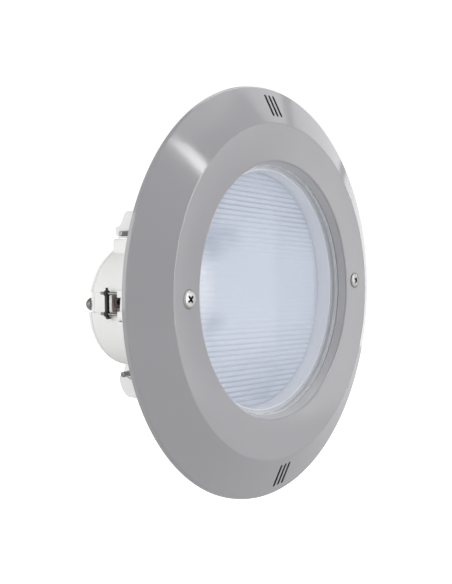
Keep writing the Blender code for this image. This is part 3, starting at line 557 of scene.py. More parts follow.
def cross_recess(name, centre, deep, top, span, width, turn, material=None):
    """Two crossing cutters for a driver recess along Y, which narrows towards y = deep."""
    arms = []
    for k in (0, 1):
        corners = [(-span, -width), (span, -width), (span, width), (-span, width)]
        arm = extruded(f"{name}_{k}", corners, min(deep, top), max(deep, top), material, axis="Y")
        for vertex in arm.data.vertices:
            if abs(vertex.co.y - deep * MM) < abs(vertex.co.y - top * MM):
                vertex.co.x *= RECESS_TAPER_LONG
                vertex.co.z *= RECESS_TAPER_WIDE
        spin = Matrix.Rotation(radians(turn + 90 * k), 4, "Y")
        arm.data.transform(Matrix.Translation((centre[0] * MM, 0, centre[1] * MM)) @ spin)
        arms.append(arm)
    return arms


def make_face_screws():
    """Raised countersunk screws with a cross recess."""
    for name, side, turn in (("left", -1, 52), ("right", 1, 38)):
        x = side * SCREW_X
        screw = lathe(
            f"face_screw_{name}_head",
            [
                (0.0, 1.0, 0),
                (2.2, 1.0, 0),
                (3.0, 0.0, 0.2),
                (3.0, -11.4, 0.3),
                (5.4, -13.8, 0.15),
                (5.4, -14.3, 0.3),
                (4.3, -15.1, 1.4),
                (0.0, -15.5, 0),
            ],
            STEEL,
            centre=(x, 0.0),
            segments=64,
        )
        # The recess cutters leave dark steel on the recess walls: painted shade.
        arms = cross_recess(f"recess_{name}", (x, 0.0), -12.2, -17.0, 3.6, 0.8, turn, RECESS_PAINTED_SHADE)
        cut(screw, *arms)
        place(screw, "fixture", "stainless_steel", f"face_screw_{name}")


# Height of the head, radius of the shank, and the side the head is on
PAN_SCREWS = {"cover": (6.4, 1.8, 1), "housing": (2.4, 2.0, 1), "clamp": (1.9, 2.0, -1)}
# Half-length and half-width of the recess as shares of the head's radius, depth as a share of its height
RECESS_REACH, RECESS_WIDTH, RECESS_DEPTH, RECESS_DEEPEST = 0.62, 0.13, 0.75, 2.4


def make_pan_screws():
    """The round-headed screws that hold the rear housing, the cover and the clamp ring."""
    for node in sorted(frame["nodes"]):
        kind = node.split("_")[0]
        if kind not in PAN_SCREWS or not node.startswith(f"{kind}_screw_"):
            continue
        low, high = node_mm(node)
        x, z, head = (low.x + high.x) / 2, (low.z + high.z) / 2, (high.x - low.x) / 2
        turn = 37 * int(node[-1])
        dome, shank, out = PAN_SCREWS[kind]
        top, tip = (high.y, low.y) if out > 0 else (low.y, high.y)
        seat = top - out * dome
        corners = [
            (0.0, tip, 0),
            (shank * 0.6, tip, 0),
            (shank, tip + out * 1.0, 0.2),
            (shank, seat, 0),
            (head, seat, 0.15),
            (head, seat + out * dome * 0.45, dome * 0.35),
            (head * 0.66, top - out * dome * 0.06, dome * 0.5),
            (0.0, top, 0),
        ]
        screw = lathe(f"{node}_head", corners, DULL_STEEL, centre=(x, z), segments=48)
        deep = top - out * min(RECESS_DEEPEST, dome * RECESS_DEPTH)
        arm, width = RECESS_REACH * head, RECESS_WIDTH * head
        cut(screw, *cross_recess(f"{node}_recess", (x, z), deep, top + out, arm, width, turn))
        place(screw, "fixture", "stainless_steel", node)


# ---------------------------------------------------------------- window

LENS_RADIUS, LENS_RIM_Y, LENS_STEP_Y, FROSTED_RADIUS = 84.4, -6.3, -4.0, 83.5
CROWN_RINGS = 12


def make_lens():
    """Slightly crowned disc on a frosted flange whitened with painted light, its side wall greyed with
    painted shade.
    """
    crown, back, flange = LENS_LOW.y, LENS_HIGH.y, LENS_HIGH.x
    corners = [(0.0, back, 0), (FROSTED_RADIUS, back, 0), (flange, back, 0.3)]
    corners += [(flange, LENS_STEP_Y, 0.3), (LENS_RADIUS, LENS_STEP_Y, 0)]
    corners.append((LENS_RADIUS, LENS_RIM_Y + 0.1, 0.35))
    for k in range(CROWN_RINGS, -1, -1):
        r = LENS_RADIUS * k / (CROWN_RINGS + 0.5)
        corners.append((r, crown + (LENS_RIM_Y - 0.25 - crown) * (r / LENS_RADIUS) ** 2, 0))
    lens = lathe("lens_window", corners, CLEAR, segments=192, sharp=50)
    flange_y, side_y, side_radius = LENS_STEP_Y - 0.2, LENS_STEP_Y - 0.1, LENS_RADIUS - 0.1
    # The flange's back gets the whitened film: frosting and painted light.
    paint(lens, FROSTED_PAINTED_LIGHT, lambda at: hypot(at.x, at.z) > FROSTED_RADIUS and at.y > flange_y)
    # The lens's side wall gets the grey film: painted shade.
    paint(lens, LENS_SIDE_PAINTED_SHADE, lambda at: hypot(at.x, at.z) > side_radius and at.y < side_y)
    place(lens, "fixture", "clear_lens", "lens")


# Where each fade of the plate's relief begins, and over what length
RIB_FADE, SIDE_FADE, FLUTE_FADE, BORDER_FADE = (16.0, 34.0), (38.0, 18.0), (30.0, 20.0), (0.0, 1.5)
SIDE_SHARE, LEAST_SHARE = 0.55, 0.06
ROWS_PER_RIB, PLATE_COLUMNS, PLATE_REACH, RIB_ROOM = 10, 300, 0.9995, 1.2


def ramp(value, begin, length):
    """0 up to begin, 1 from begin + length on, and straight between them."""
    return min(1.0, max(0.0, (value - begin) / length))


def rib_height(x, z):
    """Ribs, deep above and below and fading towards the middle, crossed there by fine flutes."""
    across, along = z * cos(RIB_TURN) + x * sin(RIB_TURN), x * cos(RIB_TURN) - z * sin(RIB_TURN)
    edge, side = ramp(abs(across), *RIB_FADE), ramp(-x, *SIDE_FADE)
    depth = RIB_DEPTH * max(edge, SIDE_SHARE * side, LEAST_SHARE)
    rib = abs(sin(pi * across / RIB_PITCH))
    middle = 1.0 - ramp(abs(across), *FLUTE_FADE)
    flute = 0.5 - 0.5 * cos(2 * pi * along / FLUTE_PITCH)
    return depth * rib + FLUTE_DEPTH * middle * flute


def make_prism_plate():
    """A disc whose front is a fine grid of ribs; a plain back and edge close it."""
    radius, front, back = PRISM_HIGH.x, PRISM_LOW.y, PRISM_HIGH.y
    rows, columns = int(2 * radius / RIB_PITCH) * ROWS_PER_RIB, PLATE_COLUMNS
    shape = bmesh.new()
    grid = []
    for i in range(rows + 1):
        z = radius * (-1 + 2 * i / rows) * PLATE_REACH
        half = (radius * radius - z * z) ** 0.5
        line = []
        for k in range(columns + 1):
            x = half * (-1 + 2 * k / columns)
            inside = ramp(radius - hypot(x, z), *BORDER_FADE)
            y = front + RIB_ROOM - inside * rib_height(x, z)
            line.append(shape.verts.new((x * MM, y * MM, z * MM)))
        grid.append(line)
    for low, high in zip(grid, grid[1:]):
        for k in range(columns):
            shape.faces.new((low[k], low[k + 1], high[k + 1], high[k]))
    border = grid[0] + [line[-1] for line in grid[1:-1]]
    border += grid[-1][::-1] + [line[0] for line in grid[-2:0:-1]]
    rim = [shape.verts.new((vertex.co.x, back * MM, vertex.co.z)) for vertex in border]
    for k in range(len(border)):
        shape.faces.new((border[k], border[k - 1], rim[k - 1], rim[k]))
    shape.faces.new(rim[::-1])
    plate = from_bmesh("prism_window", shape, PRISM, sharp=60)
    place(plate, "fixture", "prism_plate", "prism_plate")


LED_OPENING = 5.2


def make_reflector():
    """White collar and cone behind the window; its collar shows round the ribbed plate."""
    back, collar, ledge, lip = 43.5, 82.0, 11.0, -1.3
    reflector = lathe(
        "reflector_shell",
        [
            (0.0, back, 0),
            (53.0, back, 0.8),
            (80.3, 14.2, 0.8),
            (80.3, ledge + 1.7, 0),
            (collar + 1.4, ledge + 1.7, 0.3),
            (collar + 1.4, lip, 0.3),
            (collar, lip, 0.3),
            (collar, ledge, 0),
            (79.0, ledge, 0.2),
            (79.0, ledge + 1.5, 0),
            (52.2, back - 1.6, 0.8),
            (0.0, back - 1.6, 0),
        ],
        COLLAR,
        segments=192,
    )
    openings = []
    for i in range(1, 8):
        low, high = node_mm(f"led_{i}")
        x, z = (low.x + high.x) / 2, (low.z + high.z) / 2
        openings.append(bar(f"led_opening_{i}", LED_OPENING, (x, 38, z), (x, 46, z)))
    cut(reflector, *openings)
    place(reflector, "fixture", "white_abs", "reflector")


# ---------------------------------------------------------------- bowl and rear housing

CLAMP_RADIUS, BOWL_FRONT, CLAMP_BACK = 98.5, 1.6, 6.2
POST_RADIUS, POST_FRONT, POST_BACK, INSERT_RADIUS, WIRE_PORT = 6.0, -8.4, 5.6, 4.9, 12.0
FLANGE_FRONT, FLANGE_BACK, FLANGE_RADIUS = 60.3, 64.3, 66.0
DRUM_BORE, DRUM_END, END_PLATE_Y, END_PLATE_BORE = 44.2, 127.0, 122.5, 31.0
POCKET_Z, POCKET_HEIGHT, POCKET_Y0, POCKET_Y1, POCKET_FLOOR = -10.2, 15.0, 96.6, 108.2, -40.0
POCKET_WALL, POCKET_CORNER, BEYOND_DRUM = 2.2, 2.0, -60.0
GROOVE_FLOOR, GROOVE_HEIGHT = -44.6, 15.6
GLAND_Y, GLAND_RADIUS, GLAND_STEM = 102.4, 4.6, 3.6
ROD_X, ROD_MID_Z, ROD_OFFSET, ROD_RADIUS, ROD_Y0, ROD_Y1 = -50.2, -10.9, 7.5, 1.15, 90.6, 113.4
ROD_LUG = 2.6
BAND_Y0, BAND_Y1, BAND_EYE = 105.7, 109.0, 2.2
DRAIN_Z, DRAIN_Y0, DRAIN_Y1, DRAIN_WIDTH = -23.4, 84.0, 98.6, 1.0
SADDLE_HALF, SADDLE_TOP, SADDLE_FRONT = 25.0, 35.9, 92.0
PIVOT_Y, TOP_PIVOT_Z, BOTTOM_PIVOT_Z = 121.5, 40.1, -67.7
PIN_RADIUS, PIN_HALF, HUB_RADIUS = 2.1, 22.0, 3.7
LATCH_HALF, ARM_INNER, SPRING_SPACE = 14.0, 9.9, 4.4
SPRING_RADIUS, SPRING_WIRE, SPRING_TURNS, SPRING_MARGIN, COIL_STEPS = 3.0, 0.4, 3, 2.6, 24
FIT, PIN_FIT = 0.1, 0.15
SPIGOT_OUTER, SPIGOT_INNER, SPIGOT_FRONT, COVER_GAP = 30.4, 28.0, 124.0, 0.25


def about_drum(name, corners, material):
    return lathe(name, corners, material, centre=(0.0, DRUM_Z), segments=160)


def make_bowl():
    """Deep white bowl with its flange, and the two posts that take the face screws."""
    bowl = lathe(
        "lamp_bowl",
        [
            (0.0, 60.0, 0),
            (FLANGE_RADIUS, 60.0, 0.5),
            (FLANGE_RADIUS, 56.5, 1.5),
            (88.0, 41.0, 5.0),
            (88.0, CLAMP_BACK, 1.5),
            (CLAMP_RADIUS, CLAMP_BACK, 0.8),
            (CLAMP_RADIUS, BOWL_FRONT, 0.4),
            (84.0, BOWL_FRONT, 0.4),
            (84.0, 13.0, 0),
            (82.0, 13.0, 0),
            (82.0, 16.0, 0),
            (84.5, 19.0, 0),
            (84.5, 39.0, 5.0),
            (62.5, 52.5, 2.0),
            (62.5, 56.0, 0.5),
            (0.0, 56.0, 0),
        ],
        WHITE,
        segments=192,
    )
    for side in (-1, 1):
        x = side * SCREW_X
        post = bar(f"post_{side}", POST_RADIUS, (x, POST_FRONT, 0), (x, POST_BACK, 0), chamfer=0.5)
        low, high = sorted((x, side * (CLAMP_RADIUS - 2.5)))
        unite(bowl, post, block(f"post_web_{side}", (low, 2.0, -5.0), (high, 5.8, 5.0)))
        cut(bowl, bar(f"insert_bore_{side}", INSERT_RADIUS, (x, -12.0, 0), (x, 4.3, 0)))
    cut(bowl, bar("wire_port", WIRE_PORT, (0, 50, DRUM_Z), (0, 64, DRUM_Z)))
    place(bowl, "fixture", "white_abs", "lamp_body")


def add_pocket(housing):
    """Blind pocket with the gland in its floor, the cable groove behind it and the rods' lugs."""
    low, high = POCKET_Z - POCKET_HEIGHT / 2, POCKET_Z + POCKET_HEIGHT / 2
    skin = DRUM_RADIUS - POCKET_WALL
    half = GROOVE_HEIGHT / 2
    body = block(
        "pocket_body",
        (-skin, POCKET_Y0 - POCKET_WALL, low - POCKET_WALL),
        (POCKET_FLOOR + POCKET_WALL, POCKET_Y1 + POCKET_WALL, high + POCKET_WALL),
    )
    backing = block(
        "groove_backing",
        (-skin + 0.1, POCKET_Y1, ROD_MID_Z - half),
        (GROOVE_FLOOR + POCKET_WALL + 0.8, DRUM_END - 1, ROD_MID_Z + half),
    )
    unite(housing, body, backing)
    mouth = filleted(
        [
            (POCKET_Y0, low, POCKET_CORNER),
            (POCKET_Y1, low, POCKET_CORNER),
            (POCKET_Y1, high, POCKET_CORNER),
            (POCKET_Y0, high, POCKET_CORNER),
        ]
    )
    lugs = []
    bores = []
    for z in rod_heights():
        lugs.append(
            block(
                f"rod_lug_{z:.0f}",
                (ROD_X - ROD_LUG, ROD_Y0 - ROD_LUG, z - ROD_LUG),
                (-DRUM_RADIUS + 4, ROD_Y0 + 4, z + ROD_LUG),
                edge=0.6,
            )
        )
        ends = ((ROD_X, ROD_Y0, z), (ROD_X, ROD_Y0 + 6, z))
        bores.append(bar(f"rod_bore_{z:.0f}", ROD_RADIUS + FIT, *ends))
    unite(housing, *lugs)
    # The pocket cutter leaves brownish grey painted shade on the pocket walls.
    cut(
        housing,
        extruded("pocket_space", mouth, BEYOND_DRUM, POCKET_FLOOR, POCKET_SHADE),
        block(
            "cable_groove",
            (BEYOND_DRUM, POCKET_Y1 - 1.0, ROD_MID_Z - half),
            (GROOVE_FLOOR, COVER_BACK + 10, ROD_MID_Z + half),
        ),
        bar("gland_port", GLAND_STEM + FIT, *along_gland(POCKET_FLOOR - 3, POCKET_FLOOR + 10)),
        block(
            "drain",
            (-DRUM_RADIUS - 2, DRAIN_Y0, DRAIN_Z - DRAIN_WIDTH / 2),
            (-DRUM_RADIUS + 2.8, DRAIN_Y1, DRAIN_Z + DRAIN_WIDTH / 2),
        ),
        *bores,
    )


def rod_heights():
    return (ROD_MID_Z + ROD_OFFSET, ROD_MID_Z - ROD_OFFSET)


def along_gland(first, last):
    return (first, GLAND_Y, POCKET_Z), (last, GLAND_Y, POCKET_Z)


def across_pivot(reach, z):
    """Both ends of a line along X through the pivot at this height."""
    return (-reach, PIVOT_Y, z), (reach, PIVOT_Y, z)


def shifted(outline, y, z):
    return [(a + y, b + z) for a, b in outline]


def add_hinges(housing):
    """Saddle and two inner lugs on top, two outer ears below."""
    half, foot = SADDLE_HALF, 18.0
    corners = [(-half, foot, 0), (half, foot, 0), (half, SADDLE_TOP, 1.6), (-half, SADDLE_TOP, 1.6)]
    outline, back = filleted(corners), DRUM_END - 0.4
    saddle = extruded("saddle", outline, SADDLE_FRONT, back, edge=1.0, axis="Y")
    cut(saddle, bar("saddle_bore", DRUM_BORE + 1, (0, 80, DRUM_Z), (0, 124, DRUM_Z), sides=120))
    pieces = [saddle]
    lug = [(-HUB_RADIUS, -8.0), (HUB_RADIUS, -8.0)] + arc(HUB_RADIUS, 0, 180, 24)
    ear = [(5.2, 9.0), (5.2, 4.0), (6.4, 3.6), (6.4, -1.0), (5.0, -2.6)]
    ear += [(2.2, -2.9)] + arc(HUB_RADIUS, -90, -180, 16) + [(-HUB_RADIUS, 9.0)]
    for side in (-1, 1):
        low, high = sorted((side * (SPRING_SPACE + 0.3), side * (ARM_INNER - 0.5)))
        outline = shifted(lug, PIVOT_Y, TOP_PIVOT_Z)
        pieces.append(extruded(f"top_lug_{side}", outline, low, high, edge=0.35))
        low, high = sorted((side * (ARM_INNER + 0.3), side * LATCH_HALF))
        outline = shifted(ear, PIVOT_Y, BOTTOM_PIVOT_Z)
        pieces.append(extruded(f"bottom_ear_{side}", outline, low, high, edge=0.35))
    unite(housing, *pieces)
    bores = []
    for z in (TOP_PIVOT_Z, BOTTOM_PIVOT_Z):
        bores.append(bar(f"pin_bore_{z:.0f}", PIN_RADIUS + PIN_FIT, *across_pivot(30, z)))
    cut(housing, *bores)


def make_rear_housing():
    """Drum on its flange, its foot rounded into the flange."""
    housing = about_drum(
        "rear_housing_shell",
        [
            (DRUM_RADIUS, DRUM_END, 0.25),
            (DRUM_RADIUS, FLANGE_BACK + 0.1, 1.6),
            (DRUM_RADIUS + 1.8, FLANGE_BACK - 0.6, 0),
            (DRUM_BORE, FLANGE_BACK - 1.0, 0),
            (DRUM_BORE, END_PLATE_Y, 0),
            (END_PLATE_BORE, END_PLATE_Y, 0),
            (END_PLATE_BORE, DRUM_END, 0.3),
        ],
        WHITE,
    )
    flange = lathe(
        "housing_flange",
        [
            (0.0, FLANGE_BACK, 0),
            (FLANGE_RADIUS, FLANGE_BACK, 0.7),
            (FLANGE_RADIUS, FLANGE_FRONT, 0.3),
            (0.0, FLANGE_FRONT, 0),
        ],
        segments=192,
    )
    cut(flange, bar("flange_bore", DRUM_BORE - 1, (0, 50, DRUM_Z), (0, 70, DRUM_Z), sides=120))
    unite(housing, flange)
    add_pocket(housing)
    add_hinges(housing)
    place(housing, "fixture", "white_abs", "rear_housing")


def make_rear_cover():
    """Lid with a spigot, notched where the cable groove passes its edge."""
    front = DRUM_END + COVER_GAP
    cover = about_drum(
        "rear_cover_lid",
        [
            (0.0, COVER_BACK, 0),
            (DRUM_RADIUS, COVER_BACK, 0.9),
            (DRUM_RADIUS, front, 0.2),
            (SPIGOT_OUTER, front, 0),
            (SPIGOT_OUTER, SPIGOT_FRONT, 0.3),
            (SPIGOT_INNER, SPIGOT_FRONT, 0.3),
            (SPIGOT_INNER, front, 0),
            (0.0, front, 0),
        ],
        WHITE,
    )
    half = GROOVE_HEIGHT / 2
    cut(
        cover,
        block(
            "cover_notch",
            (BEYOND_DRUM, DRUM_END - 10, ROD_MID_Z - half),
            (GROOVE_FLOOR, COVER_BACK + 10, ROD_MID_Z + half),
        ),
    )
    place(cover, "fixture", "white_abs", "rear_cover")


# ---------------------------------------------------------------- cable clamp

def make_cable_clamp():
    """Gland, the two rods and the rubber band stretched over them."""
    floor = POCKET_FLOOR
    gland = bar("gland_nut", GLAND_RADIUS, *along_gland(floor - 3.2, floor - 0.8), NYLON, chamfer=0.5)
    unite(gland, bar("gland_stem", GLAND_STEM, *along_gland(floor - 2.0, floor + 6.5)))
    cut(gland, bar("gland_bore", 2.2, *along_gland(floor - 5.0, floor + 9.0)))
    place(gland, "fixture", "gland_black", "cable_gland")

    band = block(
        "clamp_strap",
        (ROD_X - 1.3, BAND_Y0 + 0.3, ROD_MID_Z - ROD_OFFSET),
        (ROD_X + 1.3, BAND_Y1 - 0.3, ROD_MID_Z + ROD_OFFSET),
        RUBBER,
        edge=0.4,
    )
    top, bottom = ROD_OFFSET + 0.9, -ROD_OFFSET - 0.9
    tip = [(BAND_Y0 + 0.9, top), (BAND_Y0 + 2.4, top), (BAND_Y0 + 2.1, 11.6), (BAND_Y0 + 1.4, 11.6)]
    end = BAND_Y0 - 1.7
    tail = [(BAND_Y1 - 0.6, bottom), (BAND_Y1 - 1.0, -10.6), (BAND_Y1 - 2.4, -11.3), (end, -10.6)]
    tail += [(end, -10.0), (BAND_Y0 + 0.6, -9.5), (BAND_Y0 + 0.6, bottom)]
    added = []
    for name, outline in (("tip", tip), ("tail", tail)):
        outline = shifted(outline, 0.0, ROD_MID_Z)
        added.append(extruded(f"band_{name}", outline, ROD_X - 1.0, ROD_X + 1.0, edge=0.25))
    bores = []
    for z in rod_heights():
        ends = ((ROD_X, BAND_Y0, z), (ROD_X, BAND_Y1, z))
        added.append(bar(f"band_eye_{z:.0f}", BAND_EYE, *ends, chamfer=0.4))
        ends = ((ROD_X, BAND_Y0 - 3, z), (ROD_X, BAND_Y1 + 3, z))
        bores.append(bar(f"band_bore_{z:.0f}", ROD_RADIUS + 0.05, *ends))
    unite(band, *added)
    cut(band, *bores)
    place(band, "fixture", "black_rubber", "clamp_band")
    for name, z in zip(("upper", "lower"), rod_heights()):
        ends = ((ROD_X, ROD_Y0, z), (ROD_X, ROD_Y1, z))
        rod = bar(f"clamp_pin_{name}", ROD_RADIUS, *ends, DULL_STEEL, chamfer=0.35)
        place(rod, "fixture", "stainless_steel", f"clamp_rod_{name}")


# ---------------------------------------------------------------- latches

def latch_outline(hub, rest, outward, pivot_z):
    """Outline of a lever from its hub's arc and (y, outward, fillet) corners, as world (y, z)."""
    first = [Vector(point) for point in hub]
    points = filleted([(*first[-1], 0)] + rest + [(*first[0], 0)], 4)
    points = first + points[1:-1]
    return [(PIVOT_Y + y, pivot_z + outward * u) for y, u in points]


def make_latch(name, body, pivot_z, outward, outline, rooms):
    """A lever, its hinge pin and its torsion spring."""
    lever = extruded(f"{body}_lever", outline, -LATCH_HALF, LATCH_HALF, LATCH, edge=0.6)
    cut(lever, bar(f"{name}_bore", PIN_RADIUS + PIN_FIT, *across_pivot(30, pivot_z)), *rooms)
    place(lever, body, "latch_white", body)
    ends = across_pivot(PIN_HALF, pivot_z)
    pin = bar(f"{name}_hinge_pin", PIN_RADIUS, *ends, DULL_STEEL, chamfer=0.5)
    place(pin, "fixture", "stainless_steel", f"{body}_pin")
    make_spring(name, body, pivot_z, outward)


def make_spring(name, body, pivot_z, outward):
    """A coil about the pin with a leg on the housing and a leg up the lever, twisting along X."""
    width = 2 * SPRING_SPACE - SPRING_MARGIN
    start, sweep = radians(-90), radians(-360 * SPRING_TURNS - 90)
    count = COIL_STEPS * SPRING_TURNS + COIL_STEPS // 4
    points = [(-width / 2, -12.0, -SPRING_RADIUS - 0.35), (-width / 2, -5.0, -SPRING_RADIUS - 0.2)]
    for i in range(count + 1):
        share = i / count
        turn = start + sweep * share
        points.append((width * (share - 0.5), SPRING_RADIUS * cos(turn), SPRING_RADIUS * sin(turn)))
    points += [(width / 2, -4.6, 3.2), (width / 2, -6.4, 5.6), (width / 2, -7.6, 10.5)]
    curve = bpy.data.curves.new(f"{name}_coil", "CURVE")
    curve.dimensions = "3D"
    curve.bevel_depth, curve.bevel_resolution, curve.use_fill_caps = SPRING_WIRE * MM, 3, True
    spline = curve.splines.new("POLY")
    spline.points.add(len(points) - 1)
    for point, (x, y, u) in zip(spline.points, points):
        point.co = (x * MM, (PIVOT_Y + y) * MM, (pivot_z + outward * u) * MM, 1.0)
    wire = bpy.data.objects.new(f"{name}_wire", curve)
    bpy.context.scene.collection.objects.link(wire)
    graph = bpy.context.evaluated_depsgraph_get()
    mesh = bpy.data.meshes.new_from_object(wire.evaluated_get(graph))
    bpy.data.objects.remove(wire, do_unlink=True)
    shape = bmesh.new()
    shape.from_mesh(mesh)
    bmesh.ops.remove_doubles(shape, verts=shape.verts, dist=0.01 * MM)
    spring = from_bmesh(f"{name}_coil", shape, STEEL, sharp=60)
    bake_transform(spring)
    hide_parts(f"{body}_spring")


def make_latches():
    """Each lever's outline, and the rooms cut in it for the lugs, the ears and the spring."""
    room = HUB_RADIUS + 0.6
    rest = [(11.0, -3.5, 0), (11.2, -1.6, 0), (13.3, -1.5, 0.8), (13.3, 5.0, 1.0)]
    rest += [(8.6, 6.3, 3.0), (4.2, 14.2, 2.0), (3.2, 15.8, 1.0), (0.8, 17.3, 1.0)]
    rest += [(-7.6, 17.6, 1.0), (-5.6, 6.0, 2.0), (-HUB_RADIUS, 3.0, 0.6)]
    outline = latch_outline(arc(HUB_RADIUS, 180, 290, 20), rest, 1, TOP_PIVOT_Z)
    rooms = [
        bar("top_knuckle_room", room, *across_pivot(ARM_INNER, TOP_PIVOT_Z)),
        block(
            "top_under_room",
            (-ARM_INNER, PIVOT_Y - 12, TOP_PIVOT_Z - 8),
            (ARM_INNER, PIVOT_Y + 16, TOP_PIVOT_Z),
        ),
    ]
    make_latch("top", "top_latch", TOP_PIVOT_Z, 1, outline, rooms)

    rest = [(HUB_RADIUS, 2.4, 0), (5.2, 3.1, 0), (12.2, 3.2, 0.8), (11.3, 8.4, 2.0)]
    rest += [(8.8, 13.6, 2.0), (5.4, 17.0, 1.5), (2.2, 18.6, 1.0), (-7.4, 18.8, 1.0)]
    rest += [(-5.2, 6.0, 2.0), (-HUB_RADIUS, 3.0, 0.6)]
    outline = latch_outline(arc(HUB_RADIUS, 180, 345, 28), rest, -1, BOTTOM_PIVOT_Z)
    rooms = []
    for side in (-1, 1):
        low, high = sorted((side * ARM_INNER, side * 20.0))
        ends = ((low, PIVOT_Y, BOTTOM_PIVOT_Z), (high, PIVOT_Y, BOTTOM_PIVOT_Z))
        rooms.append(bar(f"ear_room_{side}", room, *ends))
        rooms.append(
            block(
                f"ear_shoulder_{side}",
                (low, PIVOT_Y - 2.0, BOTTOM_PIVOT_Z - 3.25),
                (high, PIVOT_Y + 7.0, BOTTOM_PIVOT_Z + 5.0),
            )
        )
    rooms.append(bar("bottom_spring_room", room, *across_pivot(SPRING_SPACE, BOTTOM_PIVOT_Z)))
    make_latch("bottom", "bottom_latch", BOTTOM_PIVOT_Z, -1, outline, rooms)


# ---------------------------------------------------------------- CAD nodes that stay

CAD_SHARP_ANGLE = 30


def finish_nodes():
    """The CAD nodes that keep their shape get their finished materials."""
    by_slot = {
        "grey_abs": GREY,
        "white_abs": WHITE,
        "latch_white": LATCH,
        "black_rubber": RUBBER,
        "grey_silicone": SILICONE,
        "gland_black": NYLON,
        "stainless_steel": STEEL,
        "brass": BRASS,
        "aluminium": ALUMINIUM,
        "green_board": GREEN_BOARD,
        "white_board": WHITE_BOARD,
        "led_phosphor": PHOSPHOR,
        "ferrite": FERRITE,
        "green_plastic": GREEN_PLASTIC,
        "red_wire": RED_WIRE,
        "black_wire": BLACK_WIRE,
        "clear_lens": CLEAR,
        "prism_plate": PRISM,
    }
    for entry in frame["record"]["subparts"]:
        obj = frame["nodes"][entry["node"]]
        obj.data.materials.clear()
        obj.data.materials.append(by_slot[entry["material_slot"]])
        obj.data.shade_smooth()
        obj.data.set_sharp_from_angle(angle=radians(CAD_SHARP_ANGLE))


# ---------------------------------------------------------------- stage

CAMERA_AZIMUTH, CAMERA_ELEVATION, CAMERA_ROLL = -51.76, -2.39, -1.16
CAMERA_DISTANCE, CAMERA_RIGHT, CAMERA_UP = 3.997, -0.2032, 0.4332
LENS_MM, SENSOR_MM = 49.58, 36.0
SHIFT_Y = -0.1562
FLOOR_DROP, FLOOR_SIZE = 0.30, 12.0
WORLD_SEEN, WORLD_LIT = 1.05, 0.34
FLOOR_LIT, FLOOR_SEEN = 0.18, 0.9
# name, azimuth, elevation, distance, width, height and radiance of each soft box
LIGHTS = (
    ("strip", 15.3, 8.5, 1.6, 0.11, 1.88, 14.5),
    ("edge_panel", 30.0, 4.0, 1.6, 0.15, 1.2, 10.0),
    ("rim_panel", -24.0, 12.0, 1.6, 0.08, 0.8, 4.5),
    ("top_soft", 48.0, 62.0, 1.8, 2.4, 1.2, 1.1),
    ("key", 98.0, 54.0, 1.8, 1.8, 1.3, 1.1),
    ("side_high", 94.0, 22.0, 1.6, 1.0, 0.5, 0.7),
    ("side", 103.0, -9.0, 1.6, 1.0, 1.15, 0.65),
    ("lip_panel", 86.0, 2.0, 1.6, 0.2, 0.55, 7.0),
    ("ring_panel", 50.0, 0.0, 1.6, 0.28, 1.1, 1.5),
    ("left_fill", -85.0, 6.0, 1.8, 1.4, 1.4, 0.6),
    ("rear_box", -118.0, 14.0, 1.2, 0.9, 0.9, 3.0),
)


def make_camera():
    """The distances are in faceplate radii."""
    azimuth, elevation, roll = map(radians, (CAMERA_AZIMUTH, CAMERA_ELEVATION, CAMERA_ROLL))
    back = Vector((sin(azimuth) * cos(elevation), -cos(azimuth) * cos(elevation), sin(elevation)))
    level = Vector((0, 0, 1)).cross(back).normalized()
    upright = back.cross(level)
    right = level * cos(roll) + upright * sin(roll)
    up = upright * cos(roll) - level * sin(roll)
    data = bpy.data.cameras.new("camera")
    data.lens, data.sensor_width, data.shift_y = LENS_MM, SENSOR_MM, SHIFT_Y
    camera = bpy.data.objects.new("camera", data)
    spot = back * CAMERA_DISTANCE + right * CAMERA_RIGHT + up * CAMERA_UP
    turn = Matrix((right, up, back)).transposed().to_4x4()
    camera.matrix_world = Matrix.Translation(spot * FACE_RADIUS * MM) @ turn
    bpy.context.scene.collection.objects.link(camera)
    bpy.context.scene.camera = camera


def direction(azimuth, elevation):
    """Towards a light seen from the faceplate: azimuth 0 is straight out along -Y, 90 along +X."""
    a, e = radians(azimuth), radians(elevation)
    return Vector((sin(a) * cos(e), -cos(a) * cos(e), sin(e)))


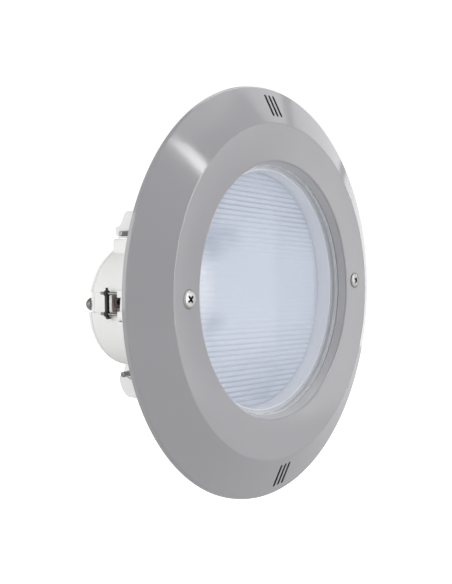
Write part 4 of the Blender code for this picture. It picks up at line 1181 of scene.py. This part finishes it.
def area_light(name, azimuth, elevation, distance, width, height, radiance):
    """A soft box that faces the object; radiance is what a mirror would show of it."""
    data = bpy.data.lights.new(name, "AREA")
    data.shape = "RECTANGLE"
    data.size, data.size_y = width, height
    data.energy = radiance * pi * width * height
    obj = bpy.data.objects.new(name, data)
    away = direction(azimuth, elevation)
    turn = away.to_track_quat("Z", "Y").to_matrix().to_4x4()
    obj.matrix_world = Matrix.Translation(away * distance) @ turn
    obj.visible_camera = False
    bpy.context.scene.collection.objects.link(obj)


def make_world():
    """White as the camera sees it, and dimmer as a light."""
    world = bpy.data.worlds.new("studio")
    bpy.context.scene.world = world
    world.use_nodes = True
    tree = world.node_tree
    tree.nodes.clear()
    output = tree.nodes.new("ShaderNodeOutputWorld")
    seen, lit = tree.nodes.new("ShaderNodeBackground"), tree.nodes.new("ShaderNodeBackground")
    for node, strength in ((seen, WORLD_SEEN), (lit, WORLD_LIT)):
        node.inputs["Color"].default_value = (1, 1, 1, 1)
        node.inputs["Strength"].default_value = strength
    rays = tree.nodes.new("ShaderNodeLightPath")
    mix = tree.nodes.new("ShaderNodeMixShader")
    tree.links.new(rays.outputs["Is Camera Ray"], mix.inputs["Fac"])
    tree.links.new(lit.outputs["Background"], mix.inputs[1])
    tree.links.new(seen.outputs["Background"], mix.inputs[2])
    tree.links.new(mix.outputs["Shader"], output.inputs["Surface"])


def make_floor():
    bpy.ops.mesh.primitive_plane_add(size=FLOOR_SIZE, location=(0, 0, -FLOOR_DROP))
    floor = bpy.context.object
    floor.name = "floor"
    material, tree, shader = new_material("floor")
    socket(shader, Base_Color=(0.45, 0.45, 0.45, 1), Roughness=0.9)
    shader.inputs["Emission Color"].default_value = (1, 1, 1, 1)
    rays = tree.nodes.new("ShaderNodeLightPath")
    tree.links.new(
        spread(tree, rays.outputs["Is Camera Ray"], FLOOR_LIT, FLOOR_SEEN, 0.0, 1.0),
        shader.inputs["Emission Strength"],
    )
    floor.data.materials.append(material)


def make_stage():
    make_world()
    make_floor()
    for light in LIGHTS:
        area_light(*light)
    view = bpy.context.scene.view_settings
    view.view_transform = "Standard"
    view.look = "None"


finish_nodes()
make_faceplate()
make_face_screws()
make_lens()
make_prism_plate()
make_reflector()
make_bowl()
make_rear_housing()
make_rear_cover()
make_pan_screws()
make_cable_clamp()
make_latches()
make_camera()
make_stage()
